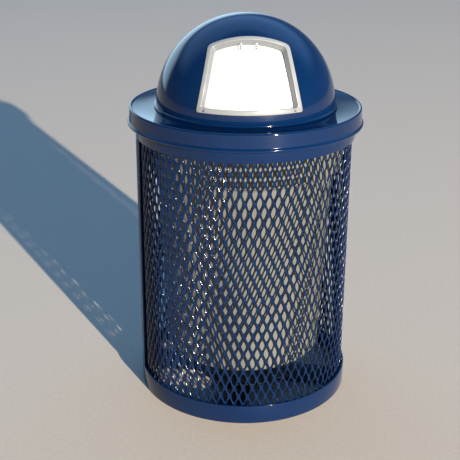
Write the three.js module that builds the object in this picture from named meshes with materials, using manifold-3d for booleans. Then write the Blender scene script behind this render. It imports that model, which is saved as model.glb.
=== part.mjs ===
// Dome top waste receptacle: an expanded-metal drum with a lift-out liner, and a lift-off lid
// that carries a dome with a spring-closed push door.
// Millimetres, +Z up, origin on the ground at the middle of the base, door facing -Y, +X to the right.
import * as THREE from "three";
import { mergeVertices } from "three/addons/utils/BufferGeometryUtils.js";
import Module from "manifold-3d";

const wasm = await Module();
wasm.setup();

// ---------- Driving dimensions ----------

const gap = 0.3; // between two pieces that touch
const facetGap = 0.8; // between two round pieces whose facets don't line up

// Drum
const bandRadius = 305; // outside of the bands and the seam strap
const bandThickness = 6;
const bandEdge = 1.2; // eased edge of a band
const bottomBandHeight = 54;
const drumHeight = 824; // top of the rim ring
const topBandDepth = 70; // from the drum's top to the top band's lower edge
const rimRingThickness = 4;
const rimRingOverhang = 7; // outside the bands
const linerClearance = 2; // round the liner's collar, inside the rim ring

// Expanded-metal wall
const meshThickness = 3.4;
const meshTuck = 26; // how far the sheet runs behind each band
const meshMargin = 6; // unslit edge of the sheet above and below the openings
const meshColumns = 14; // openings across each half sheet
const meshRows = 9; // rows of openings, each set half a pitch from the next
const strandBond = 29; // width of the solid bond beside an opening
const tipBond = 60; // height of the solid bond between two tips
const seamGap = 1;
const seamAzimuths = [-80.7, 99.3]; // degrees from the front, the left one first

// Seam strap
const strapWidth = 50;
const strapFacets = 4;

// Base
const baseBarWidth = 96;
const baseBarThickness = 6;
const baseBarLift = 6; // clear of the ground
const baseTurn = -13; // degrees from the front, of the front bar
const anchorPlateRadius = 125;
const anchorPlateThickness = 5;
const anchorHoleRadius = 7;

// Liner
const linerBottom = 114;
const linerCollarSetBack = 26; // from the inside of the bands
const linerCollarDepth = 162; // from the drum's top
const linerCollarRamp = 14; // height of the slope under the collar
const linerStep = 25; // how far the slope runs in
const linerTaper = 40; // from the slope's foot to the edge of the flat bottom
const linerCornerRadius = 14;
const linerWall = 3;
const linerRimInset = 3; // inside the rim ring's edge
const linerRimThickness = 4.4;
const linerRimEdge = 2;

// Lid
const lidThickness = 3;
const lidLedge = 21; // of the flat ring, inside the dome
const lidOverhang = 8; // outside the rim ring
const lidRimWidth = 15; // of the raised rim
const lidRimRise = 3.4;
const skirtDepth = 46; // from the flat ring's top to the underside of the bead
const skirtFlare = 2;
const beadProud = 4.3; // outside the skirt
const beadHeight = 11;
const beadEase = 1.5;

// Dome
const domeRadius = 247;
const domeWall = 3;
const domeBeadProud = 5; // outside the dome
const domeBeadHeight = 6;
const domeCentreLift = 2; // of the hemisphere's centre above the flat ring

// Door opening, as seen square from the front and laid on the frame's outer face
const frameWidth = 12.5; // face of the frame on the dome
const frameFaceThickness = 2.5;
const frameWall = 2.2; // wall that runs in from the face
const frameEase = 1; // eased edges
const frameClearance = 0.4; // round the frame's wall, in the dome's cut-out
const frameDepth = 20.5; // from the face to the door
const openingBottom = 0.166 * domeRadius; // above the dome's centre
const openingTop = 0.8219 * domeRadius; // above the dome's centre, at the middle of the arch
const openingHalfWidth = 0.5061 * domeRadius; // at the bottom
const openingNarrowing = 0.209; // loss of half width for each millimetre of height
const openingArchRadius = 0.9676 * domeRadius;
const openingTopCorner = 9;
const openingBottomCorner = 8;
const mitreGap = 0.4;

// Door
const doorThickness = 2;
const doorRecess = 3.6; // from the frame's inner edge to the door's face
const doorOverlapSides = 5;
const doorOverlapTop = 3;
const doorFacets = { columns: 12, rows: 8 };
const doorFacetDepth = 0.6; // how far a facet of the door lies inside its true curve

// Hinge
const pinRadius = 2.5;
const pinElevation = 58; // degrees above the dome's centre
const pinRunning = 0.3;
const pinOverhang = 2;
const strapPitch = 40; // between the middles of the two door straps
const strapLength = 32; // from the pin's axis down the door
const strapRivetPlaces = [19.5, 27]; // from the pin's axis down the door
const doorStrapWidth = 12;
const doorStrapThickness = 1.8;
const earClearance = 3; // between a bracket ear and a door strap
const earThickness = 2.5;
const earRadius = 5.5;
const bracketThickness = 2;
const bracketInset = 0.2; // from the frame's inner edge
const bracketClearance = 6; // to the inside of the dome

// Springs
const springWire = 0.9; // radius
const springRadius = 4.6; // to the middle of the wire
const springCurls = 4;
const springPitch = 2.35;
const springInside = 1.4; // from the middle of the door to the first curl
const springDoorLeg = 26;
const springWallLeg = 29;

// Fasteners
const rivetShank = 1.9;
const rivetHead = 3.4;
const rivetHeadHeight = 1.6;
const rivetTail = 3;
const rivetTailHeight = 1.4;
const rivetSeat = 0.5; // under the head, where it sits on a curved face
const frameRivetInset = 9; // of the frame's rivets, from the ends of the sill

// Door stops
const stopLength = 16;
const stopWidth = 6;
const stopSpread = 1.28 * openingHalfWidth; // between the middles of the two stops

// Clips that hold the dome to the lid
const clipAzimuths = [56.25, 123.75, -56.25, -123.75];
const clipWidth = 20;
const clipThickness = 2;
const clipHeight = 18;
const clipClearance = 2.6; // to the inside of the dome, which is round where the clip is flat
const clipFoot = 13;

// Facets of the round pieces
const bandFacets = 60;
const lidFacets = 60;
const linerFacets = 48;
const domeFacets = 48;
const domeRings = 9;
const domeFacetDepth = 1.8; // how far a facet of the dome lies inside its true sphere

// ---------- Places worked out from the driving dimensions ----------

const fullTurn = 360;
const bandInner = bandRadius - bandThickness;
const topBandBottom = drumHeight - topBandDepth;
const rimRingOuterRadius = bandRadius + rimRingOverhang;
const linerCollarRadius = bandInner - linerCollarSetBack;
const linerCollarBottom = drumHeight - linerCollarDepth;
const linerStepRadius = linerCollarRadius - linerStep; // where the tapered wall meets the slope
const linerBottomRadius = linerStepRadius - linerTaper;
const linerRimRadius = rimRingOuterRadius - linerRimInset;
const lidHoleRadius = domeRadius - lidLedge;
const lidRadius = rimRingOuterRadius + lidOverhang;
const lidRimStart = lidRadius - lidRimWidth; // where the flat ring starts to rise to its rim
const skirtRadius = lidRadius + skirtFlare;
const beadRadius = skirtRadius + beadProud;
const domeBeadRadius = domeRadius + domeBeadProud;
const meshOuter = bandInner - facetGap;
const rimRingBottom = drumHeight - rimRingThickness;
const linerRimBottom = drumHeight + gap;
const linerRimTop = linerRimBottom + linerRimThickness;
const lidUnderside = linerRimTop + gap;
const lidTop = lidUnderside + lidThickness;
const domeBase = lidTop + gap;
const domeCentre = lidTop + domeCentreLift; // height of the hemisphere's centre
const frameFace = domeRadius + gap + frameFaceThickness; // radius of the frame's outer face
const frameBack = frameFace - frameDepth; // radius of the frame's inner edge
const doorFace = frameBack - doorRecess; // radius of the door's outer face
const doorBack = doorFace - doorThickness - doorFacetDepth; // least radius of the door's back
// The straps are straight across the round door, so they touch it at their inner edges.
const strapNearEdge = strapPitch / 2 - doorStrapWidth / 2;
const strapInside = Math.sqrt(doorFace ** 2 - strapNearEdge ** 2) + gap;
const strapOutside = strapInside + doorStrapThickness;
const earInside = strapPitch / 2 + doorStrapWidth / 2 + earClearance; // from the middle
const bracketStart = frameBack + bracketInset; // from the dome's centre
const bracketEnd = domeRadius - domeWall - bracketClearance;
const clipRadius = domeRadius - domeWall - clipClearance;
const pinReach = strapInside - pinRunning - pinRadius; // distance of the pin from the dome's centre

// ---------- Colours ----------

const coat = { color: 0x23417a, roughness: 0.18, metalness: 0.1 };
const finishes = {
  coated: new THREE.MeshStandardMaterial(coat),
  liner: new THREE.MeshStandardMaterial({ color: 0xa5a594, roughness: 0.6, metalness: 0 }),
  frame: new THREE.MeshStandardMaterial({ color: 0xe1ded4, roughness: 0.35, metalness: 0.2 }),
  door: new THREE.MeshStandardMaterial({ color: 0xf2f2f0, roughness: 0.35, metalness: 0 }),
  zinc: new THREE.MeshStandardMaterial({ color: 0xb8babc, roughness: 0.35, metalness: 0.9 }),
  rubber: new THREE.MeshStandardMaterial({ color: 0x222222, roughness: 0.8, metalness: 0 }),
};

const receptacle = new THREE.Group();

// ---------- Solids ----------

const radians = THREE.MathUtils.degToRad;

// A point on a circle round the Z axis, its azimuth counted from -Y towards +X.
function around(radius, azimuth, z) {
  return new THREE.Vector3(radius * Math.sin(azimuth), -radius * Math.cos(azimuth), z);
}

// A closed surface from shared points and triangles, with its faces turned outwards.
function closedGeometry(points, triangles) {
  let volume = 0;
  for (const [a, b, c] of triangles) volume += points[a].dot(points[b].clone().cross(points[c]));
  const turned = volume < 0 ? triangles.map(([a, b, c]) => [a, c, b]) : triangles;
  const geometry = new THREE.BufferGeometry().setFromPoints(points);
  geometry.setIndex(turned.flat());
  return geometry;
}

// Flat polygons in (u, v) become a plate: `place` puts a corner on its outer (1) or inner (0) face,
// and a wall closes each edge that belongs to one polygon only.
function plate(polygons, place) {
  const corners = [];
  const numbers = new Map();
  const numberOf = ([u, v]) => {
    const key = `${u.toFixed(3)} ${v.toFixed(3)}`;
    if (!numbers.has(key)) {
      numbers.set(key, corners.length);
      corners.push([u, v]);
    }
    return numbers.get(key);
  };
  const flat = [];
  for (const polygon of polygons) {
    for (let i = 1; i + 1 < polygon.length; i++) {
      const [p, q, r] = [polygon[0], polygon[i], polygon[i + 1]];
      const area = (q[0] - p[0]) * (r[1] - p[1]) - (q[1] - p[1]) * (r[0] - p[0]);
      if (area > 1e-6) flat.push([p, q, r].map(numberOf));
    }
  }
  const count = corners.length;
  const edges = new Set(flat.flatMap(([a, b, c]) => [`${a} ${b}`, `${b} ${c}`, `${c} ${a}`]));
  const triangles = [];
  for (const [a, b, c] of flat) {
    triangles.push([a, b, c], [c + count, b + count, a + count]);
    for (const [from, to] of [[a, b], [b, c], [c, a]]) {
      if (!edges.has(`${to} ${from}`)) {
        triangles.push([to, from, from + count], [to, from + count, to + count]);
      }
    }
  }
  const points = [1, 0].flatMap((side) => corners.map(([u, v]) => place(u, v, side)));
  return closedGeometry(points, triangles);
}

// Rings of points joined one to the next; with `section` the two ends are capped by its triangles,
// and without it the last ring joins the first.
function loft(rings, section) {
  const size = rings[0].length;
  const points = rings.flat();
  const triangles = [];
  const last = section ? rings.length - 1 : rings.length;
  for (let i = 0; i < last; i++) {
    const here = i * size;
    const next = ((i + 1) % rings.length) * size;
    for (let j = 0; j < size; j++) {
      const k = (j + 1) % size;
      triangles.push([here + j, here + k, next + k], [here + j, next + k, next + j]);
    }
  }
  if (section) {
    const outline = section.map(([x, y]) => new THREE.Vector2(x, y));
    const end = points.length - size;
    for (const [a, b, c] of THREE.ShapeUtils.triangulateShape(outline, [])) {
      const forward = THREE.ShapeUtils.isClockWise(outline) ? [a, b, c] : [a, c, b];
      triangles.push(forward, forward.toReversed().map((n) => n + end));
    }
  }
  return closedGeometry(points, triangles);
}

// A profile of [radius, height] turned round the Z axis. One that leaves the axis closes on itself.
function revolve(profile, facets) {
  const points = profile.map(([radius, height]) => new THREE.Vector2(radius, height));
  if (profile[0][0] > 0) points.push(points[0].clone());
  return new THREE.LatheGeometry(points, facets).rotateX(Math.PI / 2);
}

// A shape drawn in (y, z), run from one x to another.
function extrudeAlongX(shape, from, to) {
  const geometry = new THREE.ExtrudeGeometry(shape, {
    depth: to - from,
    bevelEnabled: false,
    curveSegments: 8,
  });
  const axes = [[0, 1, 0], [0, 0, 1], [1, 0, 0]].map((axis) => new THREE.Vector3(...axis));
  return geometry.applyMatrix4(new THREE.Matrix4().makeBasis(...axes)).translate(from, 0, 0);
}

function circle(y, z, radius) {
  return new THREE.Path().absarc(y, z, radius, 0, 2 * Math.PI);
}

function solidOf(geometry) {
  const bare = new THREE.BufferGeometry();
  bare.setAttribute("position", geometry.getAttribute("position"));
  if (geometry.index) bare.setIndex(geometry.index);
  const merged = mergeVertices(bare, 1e-3);
  const corners = merged.index.array;
  const kept = [];
  for (let i = 0; i < corners.length; i += 3) {
    const [a, b, c] = corners.slice(i, i + 3);
    if (a !== b && b !== c && c !== a) kept.push(a, b, c);
  }
  const mesh = new wasm.Mesh({
    numProp: 3,
    vertProperties: merged.attributes.position.array,
    triVerts: new Uint32Array(kept),
  });
  return new wasm.Manifold(mesh);
}

function geometryOf(solid) {
  const { numProp, vertProperties, triVerts } = solid.getMesh();
  const positions = [];
  for (let i = 0; i < vertProperties.length; i += numProp) {
    positions.push(...vertProperties.slice(i, i + 3));
  }
  const geometry = new THREE.BufferGeometry();
  geometry.setAttribute("position", new THREE.Float32BufferAttribute(positions, 3));
  return geometry.setIndex([...triVerts]);
}

function cut(geometry, ...tools) {
  return geometryOf(tools.reduce((left, tool) => left.subtract(solidOf(tool)), solidOf(geometry)));
}

function join(...geometries) {
  return geometryOf(geometries.map(solidOf).reduce((all, next) => all.add(next)));
}

function add(name, geometry, finish) {
  const mesh = new THREE.Mesh(geometry, finishes[finish]);
  mesh.name = name;
  receptacle.add(mesh);
  return mesh;
}

// ---------- Rivets ----------

// A rivet along +Z: its head's seat at z = 0, the pieces it holds above, its closed end at z = grip.
function rivet(grip) {
  const low = -rivetSeat;
  const high = grip + rivetSeat;
  const profile = [
    [0, low - rivetHeadHeight],
    [rivetHead * 0.6, low - rivetHeadHeight * 0.85],
    [rivetHead, low],
    [rivetShank, low],
    [rivetShank, high],
    [rivetTail, high],
    [rivetTail, high + rivetTailHeight],
    [0, high + rivetTailHeight],
  ];
  return revolve(profile, 8);
}

// The hole that a rivet's shank needs, long enough for any of the joints here.
function rivetHole() {
  const reach = 12;
  const hole = new THREE.CylinderGeometry(rivetShank + gap, rivetShank + gap, 2 * reach, 8);
  return hole.rotateX(Math.PI / 2);
}

// Stands a rivet, or its hole, at a point with its head's side towards -axis.
function stand(geometry, point, axis) {
  const turn = new THREE.Quaternion().setFromUnitVectors(new THREE.Vector3(0, 0, 1), axis);
  return geometry.applyQuaternion(turn).translate(point.x, point.y, point.z);
}

// ---------- Drum ----------

function band(bottom, top) {
  const profile = [
    [bandInner, bottom],
    [bandRadius - bandEdge, bottom],
    [bandRadius, bottom + bandEdge],
    [bandRadius, top - bandEdge],
    [bandRadius - bandEdge, top],
    [bandInner, top],
  ];
  return revolve(profile, bandFacets);
}

// Half of the wall, from one seam to the next, with diamond openings in staggered rows. Where a
// diamond would cross the sheet's edge it isn't slit.
function expandedSheet(seamAzimuth) {
  const sheetTurn = fullTurn / seamAzimuths.length;
  const columnPitch = sheetTurn / meshColumns;
  const bottom = bottomBandHeight - meshTuck;
  const top = topBandBottom + meshTuck;
  const degreesPerMillimetre = 180 / (Math.PI * meshOuter);
  const halfWidth = columnPitch / 2 - (strandBond / 2) * degreesPerMillimetre;
  const end = sheetTurn - seamGap * degreesPerMillimetre;
  const openHeight = top - bottom - 2 * meshMargin;
  // rows overlap by half: the first and last openings end at the margins
  const rowPitch = (openHeight + tipBond) / (meshRows + 1);
  const halfHeight = rowPitch - tipBond / 2;
  const clampU = (u) => Math.min(Math.max(u, 0), end);
  const clampV = (v) => Math.min(Math.max(v, bottom), top);
  const corner = (u, v) => [clampU(u), clampV(v)];
  const diamond = (row, column) => {
    const u = (column + (row % 2 === 0 ? 0.5 : 0)) * columnPitch;
    const v = bottom + meshMargin + halfHeight + row * rowPitch;
    return {
      left: corner(u - halfWidth, v),
      right: corner(u + halfWidth, v),
      low: corner(u, v - halfHeight),
      high: corner(u, v + halfHeight),
      slit: u - halfWidth > 0 && u + halfWidth < end && row >= 0 && row < meshRows,
    };
  };
  const polygons = [];
  for (let row = -1; row <= meshRows; row++) {
    for (let column = -1; column <= meshColumns; column++) {
      const here = diamond(row, column);
      const beside = diamond(row, column + 1);
      const shift = row % 2 === 0 ? 1 : 0; // the column up and to the right
      const above = diamond(row + 1, column + shift);
      const below = diamond(row - 1, column + shift);
      const aboveLeft = diamond(row + 1, column + shift - 1);
      polygons.push([here.right, below.high, beside.left, above.low]);
      polygons.push([here.high, here.right, above.low, above.left]);
      polygons.push([here.left, here.high, aboveLeft.right, aboveLeft.low]);
      if (!here.slit) polygons.push([here.left, here.low, here.right, here.high]);
    }
  }
  return plate(polygons, (u, v, side) =>
    around(meshOuter - (1 - side) * meshThickness, radians(seamAzimuth + u), v),
  );
}

function seamStrap(seamAzimuth) {
  const half = radians((strapWidth / 2) * (180 / (Math.PI * bandRadius)));
  const polygons = [];
  const low = bottomBandHeight + gap;
  const high = topBandBottom - gap;
  for (let i = 0; i < strapFacets; i++) {
    const u = -half + (i / strapFacets) * 2 * half;
    const next = u + (2 * half) / strapFacets;
    polygons.push([[u, low], [next, low], [next, high], [u, high]]);
  }
  return plate(polygons, (u, v, side) =>
    around(bandRadius - (1 - side) * bandThickness, radians(seamAzimuth) + u, v),
  );
}

function rimRing() {
  const inner = linerCollarRadius + linerClearance;
  return revolve(
    [
      [inner, rimRingBottom],
      [rimRingOuterRadius - bandEdge, rimRingBottom],
      [rimRingOuterRadius, rimRingBottom + bandEdge],
      [rimRingOuterRadius, drumHeight - bandEdge],
      [rimRingOuterRadius - bandEdge, drumHeight],
      [inner, drumHeight],
    ],
    bandFacets,
  );
}

function anchorHole() {
  const reach = 2 * bottomBandHeight;
  const hole = new THREE.CylinderGeometry(anchorHoleRadius, anchorHoleRadius, reach, 12);
  return hole.rotateX(Math.PI / 2);
}

function addBase() {
  const reach = Math.sqrt((bandInner - facetGap) ** 2 - (baseBarWidth / 2) ** 2);
  const middle = baseBarLift + baseBarThickness / 2;
  const turn = radians(baseTurn);
  const long = new THREE.BoxGeometry(2 * reach, baseBarWidth, baseBarThickness);
  long.translate(0, 0, middle).rotateZ(turn);
  add("base_bar_long", cut(long, anchorHole()), "coated");
  const start = baseBarWidth / 2 + gap;
  for (const [name, side] of [["base_bar_front", -1], ["base_bar_back", 1]]) {
    const short = new THREE.BoxGeometry(baseBarWidth, reach - start, baseBarThickness);
    short.translate(0, side * (start + (reach - start) / 2), middle).rotateZ(turn);
    add(name, short, "coated");
  }
  const low = baseBarLift + baseBarThickness + gap;
  const disc = [
    [anchorHoleRadius, low],
    [anchorPlateRadius, low],
    [anchorPlateRadius, low + anchorPlateThickness],
    [anchorHoleRadius, low + anchorPlateThickness],
  ];
  add("anchor_plate", revolve(disc, 24), "coated");
}

// ---------- Liner ----------

function liner() {
  const taperTop = linerCollarBottom;
  const rampTop = linerCollarBottom + linerCollarRamp;
  const corner = (radius, base, round) =>
    [0, 1, 2].map((i) => {
      const angle = (i / 2) * (Math.PI / 2);
      return [radius + round * Math.sin(angle), base + round * (1 - Math.cos(angle))];
    });
  const outer = [
    [0, linerBottom],
    ...corner(linerBottomRadius, linerBottom, linerCornerRadius),
    [linerStepRadius, taperTop],
    [linerCollarRadius, rampTop],
    [linerCollarRadius, linerRimBottom],
    [linerRimRadius - linerRimEdge, linerRimBottom],
    [linerRimRadius, linerRimBottom + linerRimEdge],
    [linerRimRadius - linerRimEdge, linerRimTop],
  ];
  const inner = [
    [0, linerBottom + linerWall],
    ...corner(linerBottomRadius, linerBottom + linerWall, linerCornerRadius - linerWall),
    [linerStepRadius - linerWall, taperTop],
    [linerCollarRadius - linerWall, rampTop],
    [linerCollarRadius - linerWall, linerRimTop],
  ];
  return revolve([...outer, ...inner.toReversed()], linerFacets);
}

// ---------- Lid and dome ----------

function lidRing() {
  const beadLow = lidTop - skirtDepth;
  const beadMiddle = beadLow + beadHeight / 2;
  const skirtInner = skirtRadius - lidThickness;
  return revolve(
    [
      [lidHoleRadius, lidUnderside],
      [lidRimStart, lidUnderside],
      [lidRimStart + lidRimWidth * 0.35, lidUnderside + lidRimRise * 0.8],
      [lidRadius - lidRimWidth * 0.35, lidUnderside + lidRimRise * 0.8],
      [lidRadius - lidThickness, lidUnderside],
      [skirtInner, beadLow + beadHeight],
      [skirtInner, beadLow + beadEase],
      [skirtRadius, beadLow],
      [beadRadius - beadEase, beadLow + beadEase],
      [beadRadius, beadMiddle],
      [beadRadius - beadEase, beadLow + beadHeight - beadEase],
      [skirtRadius, beadLow + beadHeight],
      [lidRadius, lidUnderside],
      [lidRadius - lidRimWidth * 0.07, lidTop + lidRimRise * 0.35],
      [lidRadius - lidRimWidth * 0.3, lidTop + lidRimRise],
      [lidRimStart + lidRimWidth * 0.4, lidTop + lidRimRise],
      [lidRimStart, lidTop],
      [lidHoleRadius, lidTop],
    ],
    lidFacets,
  );
}

function domeArc(radius, base) {
  const start = Math.asin((base - domeCentre) / radius);
  return Array.from({ length: domeRings + 1 }, (_, i) => {
    const angle = start + (i / domeRings) * (Math.PI / 2 - start);
    const onAxis = i === domeRings;
    return [onAxis ? 0 : radius * Math.cos(angle), domeCentre + radius * Math.sin(angle)];
  });
}

function domeShell() {
  const inner = domeRadius - domeWall;
  const beadTop = domeBase + domeBeadHeight;
  const outside = [
    [inner, domeBase],
    [domeBeadRadius - domeBeadProud * 0.3, domeBase],
    [domeBeadRadius, domeBase + domeBeadHeight * 0.4],
    [domeBeadRadius - domeBeadProud * 0.25, domeBase + domeBeadHeight * 0.85],
    ...domeArc(domeRadius, beadTop),
  ];
  const inside = domeArc(inner, beadTop).toReversed();
  const profile = [...outside, ...inside, [inner, domeBase]];
  const points = profile.map(([radius, height]) => new THREE.Vector2(radius, height));
  return new THREE.LatheGeometry(points, domeFacets).rotateX(Math.PI / 2);
}

// ---------- Door opening ----------

// Half the width of the opening at a height above the dome's centre.
function openingHalf(height) {
  return openingHalfWidth - openingNarrowing * (height - openingBottom);
}

function archHeight(x) {
  return openingTop - openingArchRadius + Math.sqrt(openingArchRadius ** 2 - x ** 2);
}

// The height where the side meets the arch.
function archCorner() {
  let height = openingTop;
  for (let i = 0; i < 20; i++) height = archHeight(openingHalf(height));
  return height;
}

// The direction from the dome's centre to a point of the frame's face seen from the front.
function direction(x, height) {
  const depth = Math.sqrt(frameFace ** 2 - x ** 2 - height ** 2);
  return new THREE.Vector3(x, -depth, height).normalize();
}

// Right half of the opening's outline, from the middle of the bottom to the middle of the arch.
// `mitre` is the place in the list where the frame's sill meets its hoop.
function openingOutline() {
  const side = new THREE.Vector2(-openingNarrowing, 1).normalize();
  const foot = new THREE.Vector2(openingHalfWidth, openingBottom);
  const cornerHeight = archCorner();
  const head = new THREE.Vector2(openingHalf(cornerHeight), cornerHeight);
  const footStart = foot.clone().sub(new THREE.Vector2(openingBottomCorner, 0));
  const footEnd = foot.clone().addScaledVector(side, openingBottomCorner);
  const headStart = head.clone().addScaledVector(side, -openingTopCorner);
  const headX = head.x - openingTopCorner;
  const headEnd = new THREE.Vector2(headX, archHeight(headX));
  const between = (a, b, steps) =>
    Array.from({ length: steps }, (_, i) => a.clone().lerp(b, i / steps));
  const round = (a, c, b) => new THREE.QuadraticBezierCurve(a, c, b).getPoints(4).slice(0, 4);
  const sill = between(new THREE.Vector2(0, openingBottom), footStart, 5);
  const bottomCorner = round(footStart, foot, footEnd);
  const sides = between(footEnd, headStart, 7);
  const topCorner = round(headStart, head, headEnd);
  const arch = Array.from({ length: 7 }, (_, i) => {
    const x = headX * (1 - i / 6);
    return new THREE.Vector2(x, archHeight(x));
  });
  const points = [...sill, ...bottomCorner, ...sides, ...topCorner, ...arch];
  return { points, mitre: sill.length + 2 };
}

// Cross-sections of a piece that follows a line on the dome: each section point is an arc length
// outwards from the line, and a radius from the dome's centre.
function alongDome(line, section, closed) {
  const middle = direction(0, (openingBottom + openingTop) / 2);
  const directions = line.map(({ x, y }) => direction(x, y));
  const count = directions.length;
  return directions.map((here, i) => {
    const before = directions[closed ? (i + count - 1) % count : Math.max(i - 1, 0)];
    const after = directions[closed ? (i + 1) % count : Math.min(i + 1, count - 1)];
    const tangent = after.clone().sub(before).normalize();
    const outwards = tangent.clone().cross(here).normalize();
    if (outwards.dot(middle.clone().sub(here)) > 0) outwards.negate();
    return section.map(([offset, radius]) => {
      const angle = offset / frameFace;
      const point = here.clone().multiplyScalar(Math.cos(angle));
      point.addScaledVector(outwards, Math.sin(angle)).multiplyScalar(radius);
      return point.add(new THREE.Vector3(0, 0, domeCentre));
    });
  });
}

function frameSection() {
  const seat = domeRadius + gap;
  return [
    [0, frameBack],
    [frameWall, frameBack],
    [frameWall, seat],
    [frameWidth - frameEase, seat],
    [frameWidth, seat + frameEase],
    [frameWidth - frameEase, frameFace - frameEase / 2],
    [frameWidth - 3 * frameEase, frameFace],
    [frameEase, frameFace],
    [0, frameFace - frameEase],
  ];
}

const outline = openingOutline();
const mirrored = (points) => points.map(({ x, y }) => new THREE.Vector2(-x, y));

// Draws the two ends of a line in, to leave half the mitre's gap at each.
function shortened(line) {
  const ends = [[0, 1], [line.length - 1, line.length - 2]];
  const result = line.map((point) => point.clone());
  for (const [end, next] of ends) {
    const inwards = line[next].clone().sub(line[end]).normalize();
    result[end].addScaledVector(inwards, mitreGap / 2);
  }
  return result;
}

function hoopLine() {
  const right = outline.points.slice(outline.mitre);
  const left = mirrored(right.slice(0, -1));
  return shortened([...left, right.at(-1), ...right.slice(0, -1).toReversed()]);
}

function sillLine() {
  const right = outline.points.slice(0, outline.mitre + 1);
  return shortened([...mirrored(right.slice(1)).toReversed(), ...right]);
}

function openingCutter() {
  const offset = frameWall + frameClearance;
  const right = outline.points;
  const loop = [...right, ...mirrored(right.slice(1, -1)).toReversed()];
  const deep = frameBack - frameDepth;
  const far = frameFace + frameDepth;
  const rings = alongDome(loop, [[offset, deep], [offset, far]], true);
  const middle = direction(0, (openingBottom + openingTop) / 2);
  const centre = new THREE.Vector3(0, 0, domeCentre);
  const points = rings.flat();
  points.push(middle.clone().multiplyScalar(deep).add(centre));
  points.push(middle.clone().multiplyScalar(far).add(centre));
  const triangles = [];
  rings.forEach((_, i) => {
    const [a, b] = [2 * i, 2 * i + 1];
    const [c, d] = [(2 * i + 2) % (2 * rings.length), (2 * i + 3) % (2 * rings.length)];
    triangles.push([a, c, d], [a, d, b], [c, a, points.length - 2], [b, d, points.length - 1]);
  });
  return closedGeometry(points, triangles);
}

// ---------- Hinge ----------

const hingeElevation = radians(pinElevation);
// Unit vectors at the pin: `out` from the dome's centre, `down` along the door.
const out = new THREE.Vector2(-Math.cos(hingeElevation), Math.sin(hingeElevation));
const down = new THREE.Vector2(-Math.sin(hingeElevation), -Math.cos(hingeElevation));
const pinCentre = new THREE.Vector2(0, domeCentre).addScaledVector(out, pinReach);

// A point near the pin, by its distance along the door and outwards from the pin.
function byPin(along, outwards) {
  return pinCentre.clone().addScaledVector(down, along).addScaledVector(out, outwards);
}

// A point at a distance along the door's curve from the pin, and a radius from the dome's centre.
function onCurve(along, radius) {
  const angle = hingeElevation - along / doorFace;
  return new THREE.Vector2(-Math.cos(angle) * radius, domeCentre + Math.sin(angle) * radius);
}

// A leaf that curls round the pin and lies on the door's face.
function doorStrap(middle) {
  const curl = strapOutside - pinReach; // outside radius of the curl
  const meets = Math.asin((strapInside - pinReach) / curl);
  const shape = new THREE.Shape();
  const steps = 10;
  for (let i = 0; i <= steps; i++) {
    const angle = Math.PI / 2 + (i / steps) * ((3 / 2) * Math.PI + meets);
    const { x, y } = byPin(Math.cos(angle) * curl, Math.sin(angle) * curl);
    if (i === 0) shape.moveTo(x, y);
    else shape.lineTo(x, y);
  }
  const start = Math.cos(meets) * curl;
  for (let i = 1; i <= 4; i++) {
    const { x, y } = onCurve(start + ((strapLength - start) * i) / 4, strapInside);
    shape.lineTo(x, y);
  }
  for (let i = 0; i < 4; i++) {
    const { x, y } = onCurve(strapLength * (1 - i / 4), strapOutside);
    shape.lineTo(x, y);
  }
  shape.holes.push(circle(pinCentre.x, pinCentre.y, pinRadius + pinRunning));
  return extrudeAlongX(shape, middle - doorStrapWidth / 2, middle + doorStrapWidth / 2);
}

// Coordinates of the bracket: `reach` along the line from the dome's centre that lies in the outer
// face of the frame's top wall, and `above` square to it.
const bracketElevation = Math.asin(openingTop / frameFace) + frameWall / frameFace;
const bracketReach = new THREE.Vector2(-Math.cos(bracketElevation), Math.sin(bracketElevation));
const bracketAbove = new THREE.Vector2(Math.sin(bracketElevation), Math.cos(bracketElevation));

function onBracket(reach, above) {
  const centre = new THREE.Vector2(0, domeCentre);
  return centre.addScaledVector(bracketReach, reach).addScaledVector(bracketAbove, above);
}

function shapeThrough(points) {
  return new THREE.Shape(points.map(({ x, y }) => new THREE.Vector2(x, y)));
}

function hingeBracket() {
  const end = earInside + earThickness;
  const top = gap + bracketThickness;
  const blade = shapeThrough([
    onBracket(bracketStart, gap),
    onBracket(bracketEnd, gap),
    onBracket(bracketEnd, top),
    onBracket(bracketStart, top),
  ]);
  const turn = hingeElevation - bracketElevation;
  const pinAt = new THREE.Vector2(pinReach * Math.cos(turn), pinReach * Math.sin(turn));
  const rounded = Array.from({ length: 9 }, (_, i) => {
    const angle = radians(50 + i * 31);
    const reach = pinAt.x + earRadius * Math.cos(angle);
    return onBracket(reach, pinAt.y + earRadius * Math.sin(angle));
  });
  const ear = shapeThrough([
    onBracket(bracketStart, gap),
    onBracket(bracketEnd, gap),
    onBracket(bracketEnd, top),
    ...rounded,
    onBracket(bracketStart, top + 1),
  ]);
  ear.holes.push(circle(pinCentre.x, pinCentre.y, pinRadius + gap));
  const whole = join(
    extrudeAlongX(blade, -end, end),
    extrudeAlongX(ear, -end, -earInside),
    extrudeAlongX(ear, earInside, end),
  );
  return cut(whole, ...hingeRivets().map(({ point, axis }) => stand(rivetHole(), point, axis)));
}

// The two rivets that hold the bracket to the frame's top wall, heads in the opening.
function hingeRivets() {
  const reach = (bracketStart + bracketEnd) / 2;
  const axis = new THREE.Vector3(0, bracketAbove.x, bracketAbove.y);
  return [-1, 1].map((side) => {
    const x = (side * strapPitch) / 2;
    const faceX = (x * frameFace) / reach;
    const seat = direction(faceX, archHeight(faceX)).multiplyScalar(reach);
    const above = seat.dot(axis);
    const { x: y, y: z } = onBracket(reach, above);
    return { side, axis, point: new THREE.Vector3(x, y, z), grip: gap + bracketThickness - above };
  });
}

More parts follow.
